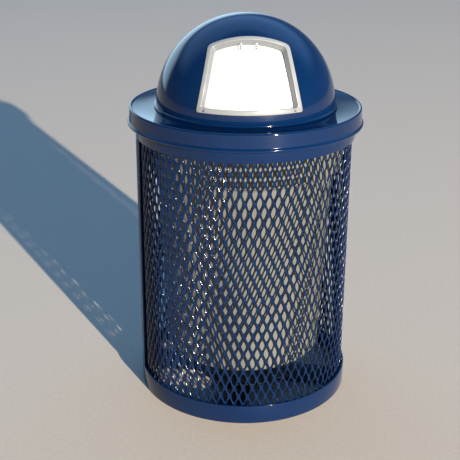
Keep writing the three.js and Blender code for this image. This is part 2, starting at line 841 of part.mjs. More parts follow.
// Two rivets through each door strap, heads outside.
function strapRivets() {
  const doorInside = Math.sqrt(doorBack ** 2 - (strapPitch / 2) ** 2);
  const places = [];
  for (const side of [-1, 1]) {
    for (const [level, along] of strapRivetPlaces.entries()) {
      const head = onCurve(along, strapOutside);
      const tail = onCurve(along, strapOutside - 1);
      const axis = new THREE.Vector3(0, tail.x - head.x, tail.y - head.y).normalize();
      const point = new THREE.Vector3((side * strapPitch) / 2, head.x, head.y);
      places.push({ side, level, axis, point, grip: strapOutside - doorInside });
    }
  }
  return places;
}

// The rivets at the two lower corners of the frame, through the sill and the dome.
function frameRivets() {
  return [-1, 1].map((side) => {
    const height = openingBottom - frameWidth / 2;
    const outwards = direction(side * (openingHalfWidth - frameRivetInset), height);
    const point = outwards.clone().multiplyScalar(frameFace);
    point.z += domeCentre;
    const grip = frameFace - domeRadius + domeWall + domeFacetDepth;
    return { side, axis: outwards.negate(), point, grip };
  });
}

function holesFor(rivets) {
  return rivets.map(({ point, axis }) => stand(rivetHole(), point, axis));
}

// One unbroken wire: a leg that rests on the dome's inner wall, the curls round the pin from the
// outside to the middle of the door, and a leg that bears on the back of the door.
function springLine(side) {
  const stepsPerCurl = 8;
  const start = radians(225);
  const turns = springCurls + 1 / 8; // ends straight along the door
  const count = Math.round(turns * stepsPerCurl);
  const at = (advance, along, outwards) => {
    const { x: y, y: z } = byPin(along, outwards);
    return new THREE.Vector3(side * advance, y, z);
  };
  const farEnd = springInside + springWire + turns * springPitch;
  const line = [];
  for (const share of [1, 0.5]) {
    const reach = springWallLeg * share;
    const along = springRadius * Math.cos(start) + reach * Math.sin(start);
    const outwards = springRadius * Math.sin(start) - reach * Math.cos(start);
    line.push(at(farEnd, along, outwards));
  }
  for (let i = 0; i <= count; i++) {
    const angle = start + (i / stepsPerCurl) * 2 * Math.PI;
    const advance = farEnd - (i / stepsPerCurl) * springPitch;
    line.push(at(advance, springRadius * Math.cos(angle), springRadius * Math.sin(angle)));
  }
  const nearEnd = springInside + springWire;
  const restsAt = doorBack - gap - springWire;
  const drop = Math.sqrt(restsAt ** 2 - springDoorLeg ** 2) - pinReach;
  for (const share of [0.5, 1]) {
    const outwards = -springRadius + (drop + springRadius) * share;
    line.push(at(nearEnd, springDoorLeg * share, outwards));
  }
  return line;
}

function spring(side) {
  const line = springLine(side);
  const section = Array.from({ length: 5 }, (_, i) => {
    const angle = (i / 5) * 2 * Math.PI;
    return [springWire * Math.cos(angle), springWire * Math.sin(angle)];
  });
  const pinAxis = new THREE.Vector3(side, 0, 0);
  const rings = line.map((point, i) => {
    const before = line[Math.max(i - 1, 0)];
    const after = line[Math.min(i + 1, line.length - 1)];
    const tangent = after.clone().sub(before).normalize();
    const sideways = pinAxis.clone().addScaledVector(tangent, -tangent.dot(pinAxis)).normalize();
    const across = tangent.clone().cross(sideways);
    return section.map(([a, b]) =>
      point.clone().addScaledVector(sideways, a).addScaledVector(across, b),
    );
  });
  return loft(rings, section);
}

// The least clear distance of the wire to itself, between points at least half a curl apart.
function leastSpringGap() {
  const line = springLine(1);
  let least = Infinity;
  for (let i = 0; i < line.length; i++) {
    for (let j = i + 5; j < line.length; j++) {
      least = Math.min(least, line[i].distanceTo(line[j]) - 2 * springWire);
    }
  }
  return least;
}

// ---------- Door ----------

function doorPanel() {
  const bottom = openingBottom - doorOverlapSides;
  const { columns, rows } = doorFacets;
  const polygons = [];
  const face = ([s, t]) => {
    let top = openingTop;
    for (let i = 0; i < 20; i++) {
      top = archHeight(s * (openingHalf(top) + doorOverlapSides)) + doorOverlapTop;
    }
    const height = bottom + t * (top - bottom);
    return direction(s * (openingHalf(height) + doorOverlapSides), height);
  };
  for (let i = 0; i < columns; i++) {
    for (let j = 0; j < rows; j++) {
      const [s, next] = [i, i + 1].map((n) => (2 * n) / columns - 1);
      const [t, over] = [j / rows, (j + 1) / rows];
      polygons.push([[s, t], [next, t], [next, over], [s, over]]);
    }
  }
  const panel = plate(polygons, (s, t, side) => {
    const point = face([s, t]).multiplyScalar(doorFace - (1 - side) * doorThickness);
    return point.add(new THREE.Vector3(0, 0, domeCentre));
  });
  return cut(panel, ...holesFor(strapRivets()));
}

// A rubber pad behind the sill that the door closes on.
function doorStop(side) {
  const middle = (side * stopSpread) / 2;
  const line = [-1, 0, 1].map(
    (i) => new THREE.Vector2(middle + (i * stopLength) / 2, openingBottom),
  );
  const [low, high] = [doorFace + gap, frameBack - gap];
  const section = [[gap, low], [stopWidth, low], [stopWidth, high], [gap, high]];
  return loft(alongDome(line, section, false), section);
}

// ---------- Clips that hold the dome ----------

const clipHoleRadius = clipRadius - clipFoot / 2 - clipThickness / 2;

function clip(azimuth) {
  const foot = domeBase;
  const points = [
    [clipRadius - clipFoot, foot],
    [clipRadius, foot],
    [clipRadius, foot + clipHeight],
    [clipRadius - clipThickness, foot + clipHeight],
    [clipRadius - clipThickness, foot + clipThickness],
    [clipRadius - clipFoot, foot + clipThickness],
  ];
  const shape = shapeThrough(points.map(([radius, z]) => new THREE.Vector2(-radius, z)));
  const angle = extrudeAlongX(shape, -clipWidth / 2, clipWidth / 2);
  const hole = rivetHole().translate(0, -clipHoleRadius, foot);
  return cut(angle, hole).rotateZ(radians(azimuth));
}

function clipRivetAt(azimuth) {
  const point = around(clipHoleRadius, radians(azimuth), lidUnderside);
  const grip = lidThickness + gap + clipThickness;
  return { point, axis: new THREE.Vector3(0, 0, 1), grip };
}

// ---------- Assembly ----------

add("wall_sheet_front", expandedSheet(seamAzimuths[0]), "coated");
add("wall_sheet_back", expandedSheet(seamAzimuths[1]), "coated");
add("seam_strap_left", seamStrap(seamAzimuths[0]), "coated");
add("seam_strap_right", seamStrap(seamAzimuths[1]), "coated");
add("bottom_band", band(0, bottomBandHeight), "coated");
add("top_band", band(topBandBottom, rimRingBottom - gap), "coated");
add("rim_ring", rimRing(), "coated");
addBase();
add("liner", liner(), "liner");

const clipRivets = clipAzimuths.map(clipRivetAt);
add("lid_ring", cut(lidRing(), ...holesFor(clipRivets)), "coated");
add("dome", cut(domeShell(), openingCutter(), ...holesFor(frameRivets())), "coated");
clipAzimuths.forEach((azimuth, i) => {
  add(`dome_clip_${i + 1}`, clip(azimuth), "zinc");
  const { point, axis, grip } = clipRivets[i];
  add(`clip_rivet_${i + 1}`, stand(rivet(grip), point, axis), "zinc");
});

const hoop = loft(alongDome(hoopLine(), frameSection(), false), frameSection());
const sill = loft(alongDome(sillLine(), frameSection(), false), frameSection());
add("frame_hoop", cut(hoop, ...holesFor(hingeRivets())), "frame");
add("frame_sill", cut(sill, ...holesFor(frameRivets())), "frame");
const sides = { "-1": "left", 1: "right" };
for (const { side, point, axis, grip } of frameRivets()) {
  add(`frame_rivet_${sides[side]}`, stand(rivet(grip), point, axis), "zinc");
  add(`door_stop_${sides[side]}`, doorStop(side), "rubber");
}

add("hinge_bracket", hingeBracket(), "zinc");
const pinHalf = earInside + earThickness + pinOverhang;
const pin = new THREE.CylinderGeometry(pinRadius, pinRadius, 2 * pinHalf, 16);
add("hinge_pin", pin.rotateZ(Math.PI / 2).translate(0, pinCentre.x, pinCentre.y), "zinc");
for (const { side, point, axis, grip } of hingeRivets()) {
  add(`hinge_rivet_${sides[side]}`, stand(rivet(grip), point, axis), "zinc");
  add(`door_spring_${sides[side]}`, spring(side), "zinc");
}

add("door_panel", doorPanel(), "door");
for (const side of [-1, 1]) {
  const rivets = strapRivets().filter((place) => place.side === side);
  const strap = cut(doorStrap((side * strapPitch) / 2), ...holesFor(rivets));
  add(`hinge_strap_${sides[side]}`, strap, "door");
  for (const { level, point, axis, grip } of rivets) {
    const height = level === 0 ? "upper" : "lower";
    add(`strap_rivet_${sides[side]}_${height}`, stand(rivet(grip), point, axis), "zinc");
  }
}

console.log(`least gap of a spring's wire to itself: ${leastSpringGap().toFixed(2)} mm`);

export default receptacle;
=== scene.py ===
# Dome top waste receptacle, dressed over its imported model.
# Metres, +Z up, origin on the ground under the middle of the drum, the push door facing -Y.
import math

import bpy
from mathutils import Matrix, Vector
from mathutils.geometry import intersect_line_line


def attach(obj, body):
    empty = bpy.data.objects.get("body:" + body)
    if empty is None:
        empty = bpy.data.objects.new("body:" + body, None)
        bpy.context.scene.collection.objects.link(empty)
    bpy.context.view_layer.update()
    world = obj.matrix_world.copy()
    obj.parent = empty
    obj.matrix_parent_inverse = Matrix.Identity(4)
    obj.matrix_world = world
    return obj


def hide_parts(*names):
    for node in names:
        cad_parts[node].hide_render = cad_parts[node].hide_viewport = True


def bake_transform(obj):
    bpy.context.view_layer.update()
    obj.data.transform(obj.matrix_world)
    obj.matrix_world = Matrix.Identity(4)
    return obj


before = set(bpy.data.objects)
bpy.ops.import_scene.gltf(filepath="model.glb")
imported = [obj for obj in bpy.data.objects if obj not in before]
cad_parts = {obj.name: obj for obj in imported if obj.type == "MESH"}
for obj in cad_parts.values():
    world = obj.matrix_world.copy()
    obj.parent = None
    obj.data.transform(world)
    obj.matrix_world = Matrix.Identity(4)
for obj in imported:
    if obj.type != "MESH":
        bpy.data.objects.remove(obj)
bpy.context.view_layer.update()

# Sizes shared by several pieces
GAP = 0.0003  # between pieces that touch in the real object
SAME_PLACE = 1e-6  # corners closer than this are joined
BAND_OUT = 0.305
BAND_IN = 0.299
BOTTOM_BAND_TOP = 0.054
TOP_BAND_LOW = 0.754
RIM_LOW = 0.820
RIM_HIGH = 0.824
TOP_BAND_HIGH = RIM_LOW - GAP
WALL_LOW = 0.028
WALL_HIGH = 0.780
SEAMS = (-80.7, 99.3)  # azimuths in degrees, from the front towards +X
STRAP_WIDTH = 0.050
BASE_TURN = math.radians(-13)  # of the base bars, from the front

LID_UNDER = 0.829
LID_TOP = 0.832
LID_OUT = 0.320
LID_IN = 0.226

DOME_CENTRE = Vector((0, 0, 0.834))
DOME_RADIUS = 0.247
DOME_WALL = 0.003
FRAME_FACE = 0.2498  # radius of the frame's outer face, from the dome's centre
FRAME_BACK = 0.2293
FRAME_WALL = 0.0022
DOOR_FACE = 0.2257
BEHIND_DOOR = DOOR_FACE - 0.0026
OPEN_LOW = 0.0410
OPEN_HIGH = 0.2030
OPEN_HALF = 0.1250
OPEN_ARCH = 0.2390
OPEN_NARROWS = 0.209

PIN = Vector((0, -0.118048, 1.022916))
PIN_RADIUS = 0.0025
PIN_ANGLE = math.radians(58)
OUTWARDS = Vector((0, -math.cos(PIN_ANGLE), math.sin(PIN_ANGLE)))
DOWNWARDS = Vector((0, -math.sin(PIN_ANGLE), -math.cos(PIN_ANGLE)))

RIVET_SHANK = 0.0019
RIVET_HEAD = 0.0034
RIVET_HEAD_HEIGHT = 0.0016


# ---------- Working on one object ----------


def deselect():
    if bpy.context.mode != "OBJECT":
        bpy.ops.object.mode_set(mode="OBJECT")
    bpy.ops.object.select_all(action="DESELECT")


def only(piece):
    deselect()
    piece.select_set(True)
    bpy.context.view_layer.objects.active = piece


def named(name):
    """Names what was just added, and puts its place into its mesh."""
    piece = bpy.context.active_object
    piece.name = name
    piece.data.name = name
    bpy.ops.object.transform_apply(location=True, rotation=True, scale=True)
    return piece


def modify(piece, kind, **settings):
    only(piece)
    modifier = piece.modifiers.new(kind.title(), kind)
    for key, value in settings.items():
        setattr(modifier, key, value)
    bpy.ops.object.modifier_apply(modifier=modifier.name)


def ease(piece, width, segments=3, angle=38):
    modify(
        piece,
        "BEVEL",
        width=width,
        segments=segments,
        limit_method="ANGLE",
        angle_limit=math.radians(angle),
    )


def smooth(piece, angle=40):
    only(piece)
    bpy.ops.object.shade_smooth_by_angle(angle=math.radians(angle))


def edit_all():
    """Opens the active piece for editing, all of it selected."""
    bpy.ops.object.mode_set(mode="EDIT")
    bpy.ops.mesh.select_all(action="SELECT")


def faces_out():
    """Turns the selected faces outwards and ends the editing."""
    bpy.ops.mesh.normals_make_consistent(inside=False)
    bpy.ops.object.mode_set(mode="OBJECT")


def close_up(piece):
    """Joins corners that meet and turns the faces outwards."""
    only(piece)
    edit_all()
    bpy.ops.mesh.remove_doubles(threshold=SAME_PLACE)
    faces_out()


def drop_helper(helper):
    bpy.data.objects.remove(helper)


def arc(radius, height, size, start, end, steps):
    """Points of a round corner in an outline, angles in degrees."""
    points = []
    for i in range(steps + 1):
        angle = math.radians(start + (end - start) * i / steps)
        points.append((radius + size * math.cos(angle), height + size * math.sin(angle)))
    return points


def turned(name, outline, steps=192, ring=True):
    """A round piece: a circle extruded from point to point of an outline of (radius, height).
    A ring's outline closes on itself; any other piece is closed by its two end discs."""
    deselect()
    radius, height = outline[0]
    bpy.ops.mesh.primitive_circle_add(vertices=steps, radius=radius, location=(0, 0, height))
    piece = named(name)
    edit_all()
    for wider, higher in outline[1:] + (outline[:1] if ring else []):
        move = {"value": (0, 0, higher - height)}
        bpy.ops.mesh.extrude_region_move(TRANSFORM_OT_translate=move)
        scale = wider / radius
        bpy.ops.transform.resize(value=(scale, scale, 1), center_override=(0, 0, higher))
        radius, height = wider, higher
    bpy.ops.mesh.select_all(action="SELECT")
    if ring:
        bpy.ops.mesh.remove_doubles(threshold=SAME_PLACE)
    else:
        bpy.ops.mesh.fill_holes(sides=0)
    faces_out()
    return piece


def block(name, size, middle):
    deselect()
    bpy.ops.mesh.primitive_cube_add(size=1, location=middle, scale=size)
    return named(name)


def copied(piece, name):
    """A copy with a mesh of its own."""
    only(piece)
    bpy.ops.object.duplicate(linked=False)
    return named(name)


def turned_by(piece, angle):
    """Turns a piece round the drum's axis."""
    piece.data.transform(Matrix.Rotation(angle, 4, "Z"))
    piece.data.update()


def extruded(name, ring, move):
    """A flat face of any outline, extruded straight."""
    deselect()
    bpy.ops.mesh.primitive_circle_add(vertices=len(ring), fill_type="NGON")
    piece = named(name)
    for vertex, spot in zip(piece.data.vertices, ring):
        vertex.co = spot
    piece.data.update()
    edit_all()
    bpy.ops.mesh.extrude_region_move(TRANSFORM_OT_translate={"value": move})
    bpy.ops.mesh.select_all(action="SELECT")
    faces_out()
    return piece


def surface(name, points, faces):
    """A mesh from its points and faces, for the forms that follow the dome or the net."""
    deselect()
    mesh = bpy.data.meshes.new(name)
    mesh.from_pydata([tuple(p) for p in points], [], faces)
    piece = bpy.data.objects.new(name, mesh)
    bpy.context.collection.objects.link(piece)
    return piece


def loft(name, rings):
    """Rings of points joined one to the next, with flat ends."""
    size = len(rings[0])
    points = [p for ring in rings for p in ring]
    faces = []
    for i in range(len(rings) - 1):
        for j in range(size):
            a, b = i * size + j, i * size + (j + 1) % size
            faces.append((a, b, b + size, a + size))
    last = (len(rings) - 1) * size
    faces.append(tuple(range(size)))
    faces.append(tuple(last + j for j in range(size)))
    piece = surface(name, points, faces)
    close_up(piece)
    return piece


def bored(piece, radius, point, axis, length):
    """Drills a round hole through a piece."""
    deselect()
    turn = Vector((0, 0, 1)).rotation_difference(axis).to_euler()
    bpy.ops.mesh.primitive_cylinder_add(
        vertices=32, radius=radius, depth=length, location=point, rotation=turn
    )
    drill = named("drill")
    modify(piece, "BOOLEAN", operation="DIFFERENCE", solver="EXACT", object=drill)
    drop_helper(drill)


def stand(piece, point, axis):
    turn = Vector((0, 0, 1)).rotation_difference(axis).to_matrix().to_4x4()
    piece.data.transform(Matrix.Translation(point) @ turn)
    piece.data.update()


# ---------- Finishes ----------


class Finish:
    """A material under construction: one Principled shader and what feeds it."""

    def __init__(self, name, ior=1.5, metallic=0.0):
        self.material = bpy.data.materials.new(name)
        self.material.use_nodes = True
        self.tree = self.material.node_tree
        self.shader = self.tree.nodes["Principled BSDF"]
        self.shader.inputs["IOR"].default_value = ior
        self.shader.inputs["Metallic"].default_value = metallic
        self.place = self.tree.nodes.new("ShaderNodeTexCoord").outputs["Object"]

    def link(self, source, target):
        self.tree.links.new(source, target)

    def noise(self, scale, detail=3.0, roughness=0.5, stretch=None):
        texture = self.tree.nodes.new("ShaderNodeTexNoise")
        texture.inputs["Scale"].default_value = scale
        texture.inputs["Detail"].default_value = detail
        texture.inputs["Roughness"].default_value = roughness
        if stretch:
            mapping = self.tree.nodes.new("ShaderNodeMapping")
            mapping.inputs["Scale"].default_value = stretch
            self.link(self.place, mapping.inputs["Vector"])
            self.link(mapping.outputs["Vector"], texture.inputs["Vector"])
        else:
            self.link(self.place, texture.inputs["Vector"])
        return texture.outputs["Fac"]

    def speckle(self, scale):
        texture = self.tree.nodes.new("ShaderNodeTexVoronoi")
        texture.inputs["Scale"].default_value = scale
        self.link(self.place, texture.inputs["Vector"])
        return texture.outputs["Distance"]

    def between(self, source, low, high, out_low=0.0, out_high=1.0):
        step = self.tree.nodes.new("ShaderNodeMapRange")
        sockets = ("From Min", "From Max", "To Min", "To Max")
        for key, value in zip(sockets, (low, high, out_low, out_high)):
            step.inputs[key].default_value = value
        self.link(source, step.inputs["Value"])
        return step.outputs["Result"]

    def radius(self):
        """Distance from the dome's centre."""
        reach = self.tree.nodes.new("ShaderNodeVectorMath")
        reach.operation = "DISTANCE"
        self.link(self.place, reach.inputs[0])
        reach.inputs[1].default_value = DOME_CENTRE
        return reach.outputs["Value"]

    def blend(self, amount, first, second):
        mix = self.tree.nodes.new("ShaderNodeMix")
        mix.data_type = "RGBA"
        self.link(amount, mix.inputs[0])
        for value, socket in ((first, mix.inputs[6]), (second, mix.inputs[7])):
            if isinstance(value, tuple):
                socket.default_value = (*value, 1)
            else:
                self.link(value, socket)
        return mix.outputs[2]

    def colour(self, source):
        self.link(source, self.shader.inputs["Base Color"])

    def roughness(self, scale, detail, low, high):
        wander = self.between(self.noise(scale, detail), 0.3, 0.7, low, high)
        self.link(wander, self.shader.inputs["Roughness"])

    def relief(self, scale, detail, strength, depth):
        source = self.noise(scale, detail)
        bump = self.tree.nodes.new("ShaderNodeBump")
        bump.inputs["Strength"].default_value = strength
        bump.inputs["Distance"].default_value = depth
        self.link(source, bump.inputs["Height"])
        self.link(bump.outputs["Normal"], self.shader.inputs["Normal"])


def navy_coating():
    """Thick glossy dark blue coating with a slight orange peel."""
    finish = Finish("navy_coating", ior=1.43)
    tone = finish.between(finish.noise(4.0), 0.35, 0.65)
    finish.colour(finish.blend(tone, (0.0012, 0.013, 0.053), (0.0016, 0.016, 0.062)))
    finish.roughness(16.0, 4.0, 0.05, 0.10)
    finish.relief(260.0, 1.0, 0.08, 0.0004)
    return finish.material


def navy_net_coating():
    """The same coating dipped over the net, a little thicker and softer."""
    finish = Finish("navy_net_coating", ior=1.36)
    tone = finish.between(finish.noise(9.0), 0.35, 0.65)
    finish.colour(finish.blend(tone, (0.0010, 0.011, 0.045), (0.0014, 0.014, 0.055)))
    finish.roughness(30.0, 3.0, 0.08, 0.13)
    finish.relief(180.0, 2.0, 0.15, 0.0005)
    return finish.material


def painted_shade_base_coating():
    """Bars under the liner: near black as painted shade, since they lie in shadow; with road dirt.
    """
    finish = Finish("painted_shade_base_coating", ior=1.40)
    dirt = finish.between(finish.noise(34.0, 6.0, 0.65), 0.45, 0.75, 0.0, 0.5)
    finish.colour(finish.blend(dirt, (0.003, 0.004, 0.006), (0.020, 0.018, 0.015)))
    finish.roughness(22.0, 4.0, 0.35, 0.6)
    finish.relief(240.0, 3.0, 0.2, 0.0004)
    return finish.material


def liner_plastic():
    finish = Finish("liner_plastic", ior=1.49)
    tone = finish.between(finish.noise(3.2, 5.0), 0.3, 0.7)
    grey = finish.blend(tone, (0.135, 0.136, 0.115), (0.172, 0.169, 0.143))
    streak = finish.between(finish.noise(14.0, 4.0, 0.6, (6, 6, 0.7)), 0.5, 0.8, 0.0, 0.35)
    finish.colour(finish.blend(streak, grey, (0.105, 0.10, 0.085)))
    finish.roughness(22.0, 3.0, 0.42, 0.58)
    finish.relief(420.0, 3.0, 0.25, 0.0003)
    return finish.material


def frame_finish():
    """Light grey on the face, with painted shade on the wall that runs in to the door and a painted
    reflection darkening the rivets.
    """
    finish = Finish("frame_light_grey")
    tone = finish.between(finish.noise(12.0, 3.0), 0.3, 0.7)
    face = finish.blend(tone, (0.265, 0.27, 0.27), (0.30, 0.305, 0.305))
    # painted shade: the wall that runs in to the door is darker than the face
    on_face = finish.between(finish.radius(), DOME_RADIUS + 0.0002, FRAME_FACE - 0.0006)
    return_wall_painted_shade = finish.blend(on_face, (0.18, 0.19, 0.20), face)
    # painted reflection: the rivet heads are darker in place of the dark reflection on their metal
    on_rivets = finish.between(finish.radius(), FRAME_FACE + 0.0003, FRAME_FACE + 0.0009)
    finish.colour(finish.blend(on_rivets, return_wall_painted_shade, (0.13, 0.14, 0.16)))
    finish.roughness(40.0, 3.0, 0.24, 0.36)
    finish.relief(300.0, 2.0, 0.12, 0.0003)
    return finish.material


def door_finish():
    finish = Finish("door_white")
    tone = finish.between(finish.noise(8.0, 4.0), 0.3, 0.7)
    finish.colour(finish.blend(tone, (0.84, 0.84, 0.82), (0.90, 0.90, 0.88)))
    finish.roughness(30.0, 4.0, 0.22, 0.34)
    finish.relief(280.0, 2.0, 0.12, 0.0003)
    return finish.material


def zinc_plating():
    finish = Finish("zinc_plating", metallic=1.0)
    tone = finish.between(finish.speckle(320.0), 0.0, 0.8)
    finish.colour(finish.blend(tone, (0.52, 0.53, 0.55), (0.72, 0.72, 0.72)))
    finish.roughness(160.0, 3.0, 0.24, 0.42)
    finish.relief(600.0, 2.0, 0.15, 0.0002)
    return finish.material


def black_rubber():
    finish = Finish("black_rubber")
    tone = finish.between(finish.noise(60.0, 4.0), 0.3, 0.7)
    finish.colour(finish.blend(tone, (0.012, 0.012, 0.012), (0.03, 0.03, 0.03)))
    finish.roughness(90.0, 3.0, 0.6, 0.8)
    finish.relief(700.0, 2.0, 0.3, 0.0002)
    return finish.material


NAVY = navy_coating()
NAVY_NET = navy_net_coating()
# BASE is near black: painted shade for the bars that lie in shadow under the liner
BASE = painted_shade_base_coating()
LINER = liner_plastic()
FRAME = frame_finish()
DOOR = door_finish()
ZINC = zinc_plating()
RUBBER = black_rubber()


def fit(piece, body, finish, slot, *nodes):
    """Gives a finished piece its material, its body and the nodes it stands for."""
    piece.data.materials.clear()
    piece.data.materials.append(finish)
    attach(piece, body)
    if nodes:
        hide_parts(*nodes)


# ---------- Drum ----------


def make_bands():
    for name, node, inner, outer, low, high in (
        ("drum_bottom_band", "bottom_band", BAND_IN, BAND_OUT, 0.0, BOTTOM_BAND_TOP),
        ("drum_top_band", "top_band", BAND_IN, BAND_OUT, TOP_BAND_LOW, TOP_BAND_HIGH),
        ("drum_rim_ring", "rim_ring", 0.287, 0.312, RIM_LOW, RIM_HIGH),
    ):
        piece = turned(name, [(inner, low), (outer, low), (outer, high), (inner, high)])
        ease(piece, 0.0012)
        smooth(piece)
        fit(piece, "receptacle", NAVY, "coated", node)


# Expanded metal: strands in pairs, joined at the bonds, each turned about its own length so that
# its left edge stands out and its right edge lies in.
COLUMNS = 74
SHORT_WAY = 2 * math.pi / COLUMNS
LONG_WAY = 0.05355
NET_RADIUS = 0.2943
STRAND_WIDTH = 0.0062
STRAND_THICKNESS = 0.0038
STRAND_EDGE = 0.36  # of its thickness, sloped off at each edge of a strand
STRAND_TURN = math.radians(38)
STRAND_WEAVE = 0.3  # how much of its slant a strand keeps where it joins its neighbour
BOND_HALF = 0.0060  # from the middle of a bond to the crotch of an opening
NET_START = math.radians(-77.88)  # first bond of the front half sheet
NET_BASE = 0.0250  # height of the first row of bonds
NET_ROWS = 16
NET_MERGE = 2e-5


def strand_sections(joined_to):
    """Sections of one strand over one opening's length, from the middle of one bond to the
    middle of the next but one. At half length it is joined to its right-hand or left-hand
    neighbour; at both ends to the other one."""
    half_short = NET_RADIUS * SHORT_WAY / 2
    a = STRAND_WIDTH / 2
    b = a - STRAND_EDGE * STRAND_THICKNESS
    along, across = math.cos(STRAND_TURN), -math.sin(STRAND_TURN)
    thick = STRAND_THICKNESS / 2
    sign = -1 if joined_to == "right" else 1  # this strand's side of the middle bond
    crotch = LONG_WAY / 2 - BOND_HALF
    inner = [BOND_HALF + (crotch - BOND_HALF) * f for f in (1 / 3, 2 / 3)]
    heights = [-LONG_WAY / 2, -crotch, -inner[1], -inner[0], -BOND_HALF]
    heights += [0.0] + [-h for h in reversed(heights)]
    rows = []
    for v in heights:
        share = (1 - math.cos(2 * math.pi * v / LONG_WAY)) / 2
        near_u, near_w = sign * a * along, sign * a * across * STRAND_WEAVE
        far_u = sign * half_short - sign * a * along
        far_w = -near_w
        u = near_u + (far_u - near_u) * share
        w = near_w + (far_w - near_w) * share

        def at(side, out, u=u, w=w, v=v):
            x = u + side * along - out * across
            y = w + side * across + out * along
            return (x, y, v)

        section = {
            "L": at(-a, 0),
            "T1": at(-b, thick),
            "T2": at(b, thick),
            "R": at(a, 0),
            "B2": at(b, -thick),
            "B1": at(-b, -thick),
        }
        at_middle = abs(v) <= BOND_HALF + 1e-9
        at_end = abs(v) >= crotch - 1e-9
        if at_middle or at_end:
            centre = 0.0 if at_middle else sign * half_short
            top = (centre - thick * across, thick * along, v)
            low = (centre + thick * across, -thick * along, v)
            web = (centre, 0.0, v)
            on_right = (sign < 0) == at_middle
            if on_right:
                section.update(T2=top, R=web, B2=low)
            else:
                section.update(T1=top, L=web, B1=low)
        rows.append((section, at_middle, at_end))
    return sign, rows


def net_cell():
    keys = ["L", "T1", "T2", "R", "B2", "B1"]
    points, faces = [], []
    for joined_to in ("right", "left"):
        sign, rows = strand_sections(joined_to)
        first = len(points)
        for section, _, _ in rows:
            for key in keys:
                x, y, z = section[key]
                angle = x / NET_RADIUS
                radius = NET_RADIUS + y
                points.append((radius * math.sin(angle), -radius * math.cos(angle), z))
        for i in range(len(rows) - 1):
            both_middle = rows[i][1] and rows[i + 1][1]
            both_end = rows[i][2] and rows[i + 1][2]
            for j, key in enumerate(keys):
                following = keys[(j + 1) % 6]
                if both_middle or both_end:
                    on_right = (sign < 0) == both_middle
                    if ("R" if on_right else "L") in (key, following):
                        continue
                a = first + 6 * i + j
                b = first + 6 * i + (j + 1) % 6
                faces.append((a, b, b + 6, a + 6))
    return points, faces


def half_net(name):
    """One half sheet: a cell copied up the wall and round it, then cut level at both edges."""
    points, faces = net_cell()
    piece = surface(name, points, faces)
    only(piece)
    edit_all()
    bpy.ops.mesh.remove_doubles(threshold=SAME_PLACE)
    bpy.ops.mesh.delete_loose()
    bpy.ops.mesh.select_all(action="SELECT")
    faces_out()
    place = Matrix.Translation((0, 0, NET_BASE)) @ Matrix.Rotation(NET_START, 4, "Z")
    piece.data.transform(place)
    joined = {
        "use_relative_offset": False,
        "use_merge_vertices": True,
        "merge_threshold": NET_MERGE,
    }
    upwards = {"use_constant_offset": True, "constant_offset_displace": (0, 0, LONG_WAY)}
    modify(piece, "ARRAY", count=NET_ROWS, **upwards, **joined)
    deselect()
    turn = bpy.data.objects.new("column_turn", None)
    turn.rotation_euler = (0, 0, SHORT_WAY)
    bpy.context.collection.objects.link(turn)
    bpy.context.view_layer.update()
    around = {"use_object_offset": True, "offset_object": turn}
    modify(piece, "ARRAY", count=COLUMNS // 2, **around, **joined)
    drop_helper(turn)
    only(piece)
    bpy.ops.object.mode_set(mode="EDIT")
    for height, keep_above in ((WALL_LOW, True), (WALL_HIGH, False)):
        bpy.ops.mesh.select_all(action="SELECT")
        bpy.ops.mesh.bisect(
            plane_co=(0, 0, height),
            plane_no=(0, 0, 1),
            use_fill=True,
            clear_inner=keep_above,
            clear_outer=not keep_above,
        )
    bpy.ops.mesh.select_all(action="SELECT")
    bpy.ops.mesh.fill_holes(sides=24)
    bpy.ops.object.mode_set(mode="OBJECT")
    return piece


def make_wall():
    front = half_net("wall_net_front")
    back = copied(front, "wall_net_back")
    turned_by(back, math.pi)
    for piece, node in ((front, "wall_sheet_front"), (back, "wall_sheet_back")):
        smooth(piece, 80)
        fit(piece, "receptacle", NAVY_NET, "coated", node)


def make_seam_straps():
    """A rectangle spun round the drum's axis; the operator turns against the azimuths."""
    low, high = BOTTOM_BAND_TOP + GAP, TOP_BAND_LOW - GAP
    half = STRAP_WIDTH / 2 / BAND_OUT
    size = (BAND_OUT - BAND_IN, 1, high - low)
    deselect()
    bpy.ops.mesh.primitive_plane_add(size=1, rotation=(math.pi / 2, 0, 0))
    left = named("drum_seam_strap_left")
    edit_all()
    bpy.ops.transform.resize(value=size, center_override=(0, 0, 0))
    bpy.ops.transform.translate(value=((BAND_OUT + BAND_IN) / 2, 0, (low + high) / 2))
    bpy.ops.mesh.spin(steps=10, angle=-2 * half, center=(0, 0, 0), axis=(0, 0, 1))
    bpy.ops.mesh.select_all(action="SELECT")
    bpy.ops.mesh.remove_doubles(threshold=SAME_PLACE)
    bpy.ops.mesh.fill_holes(sides=0)
    faces_out()
    ease(left, 0.0014)
    right = copied(left, "drum_seam_strap_right")
    for piece, seam, node in (
        (left, SEAMS[0], "seam_strap_left"),
        (right, SEAMS[1], "seam_strap_right"),
    ):
        turned_by(piece, math.radians(seam - 90) - half)
        smooth(piece)
        fit(piece, "receptacle", NAVY, "coated", node)


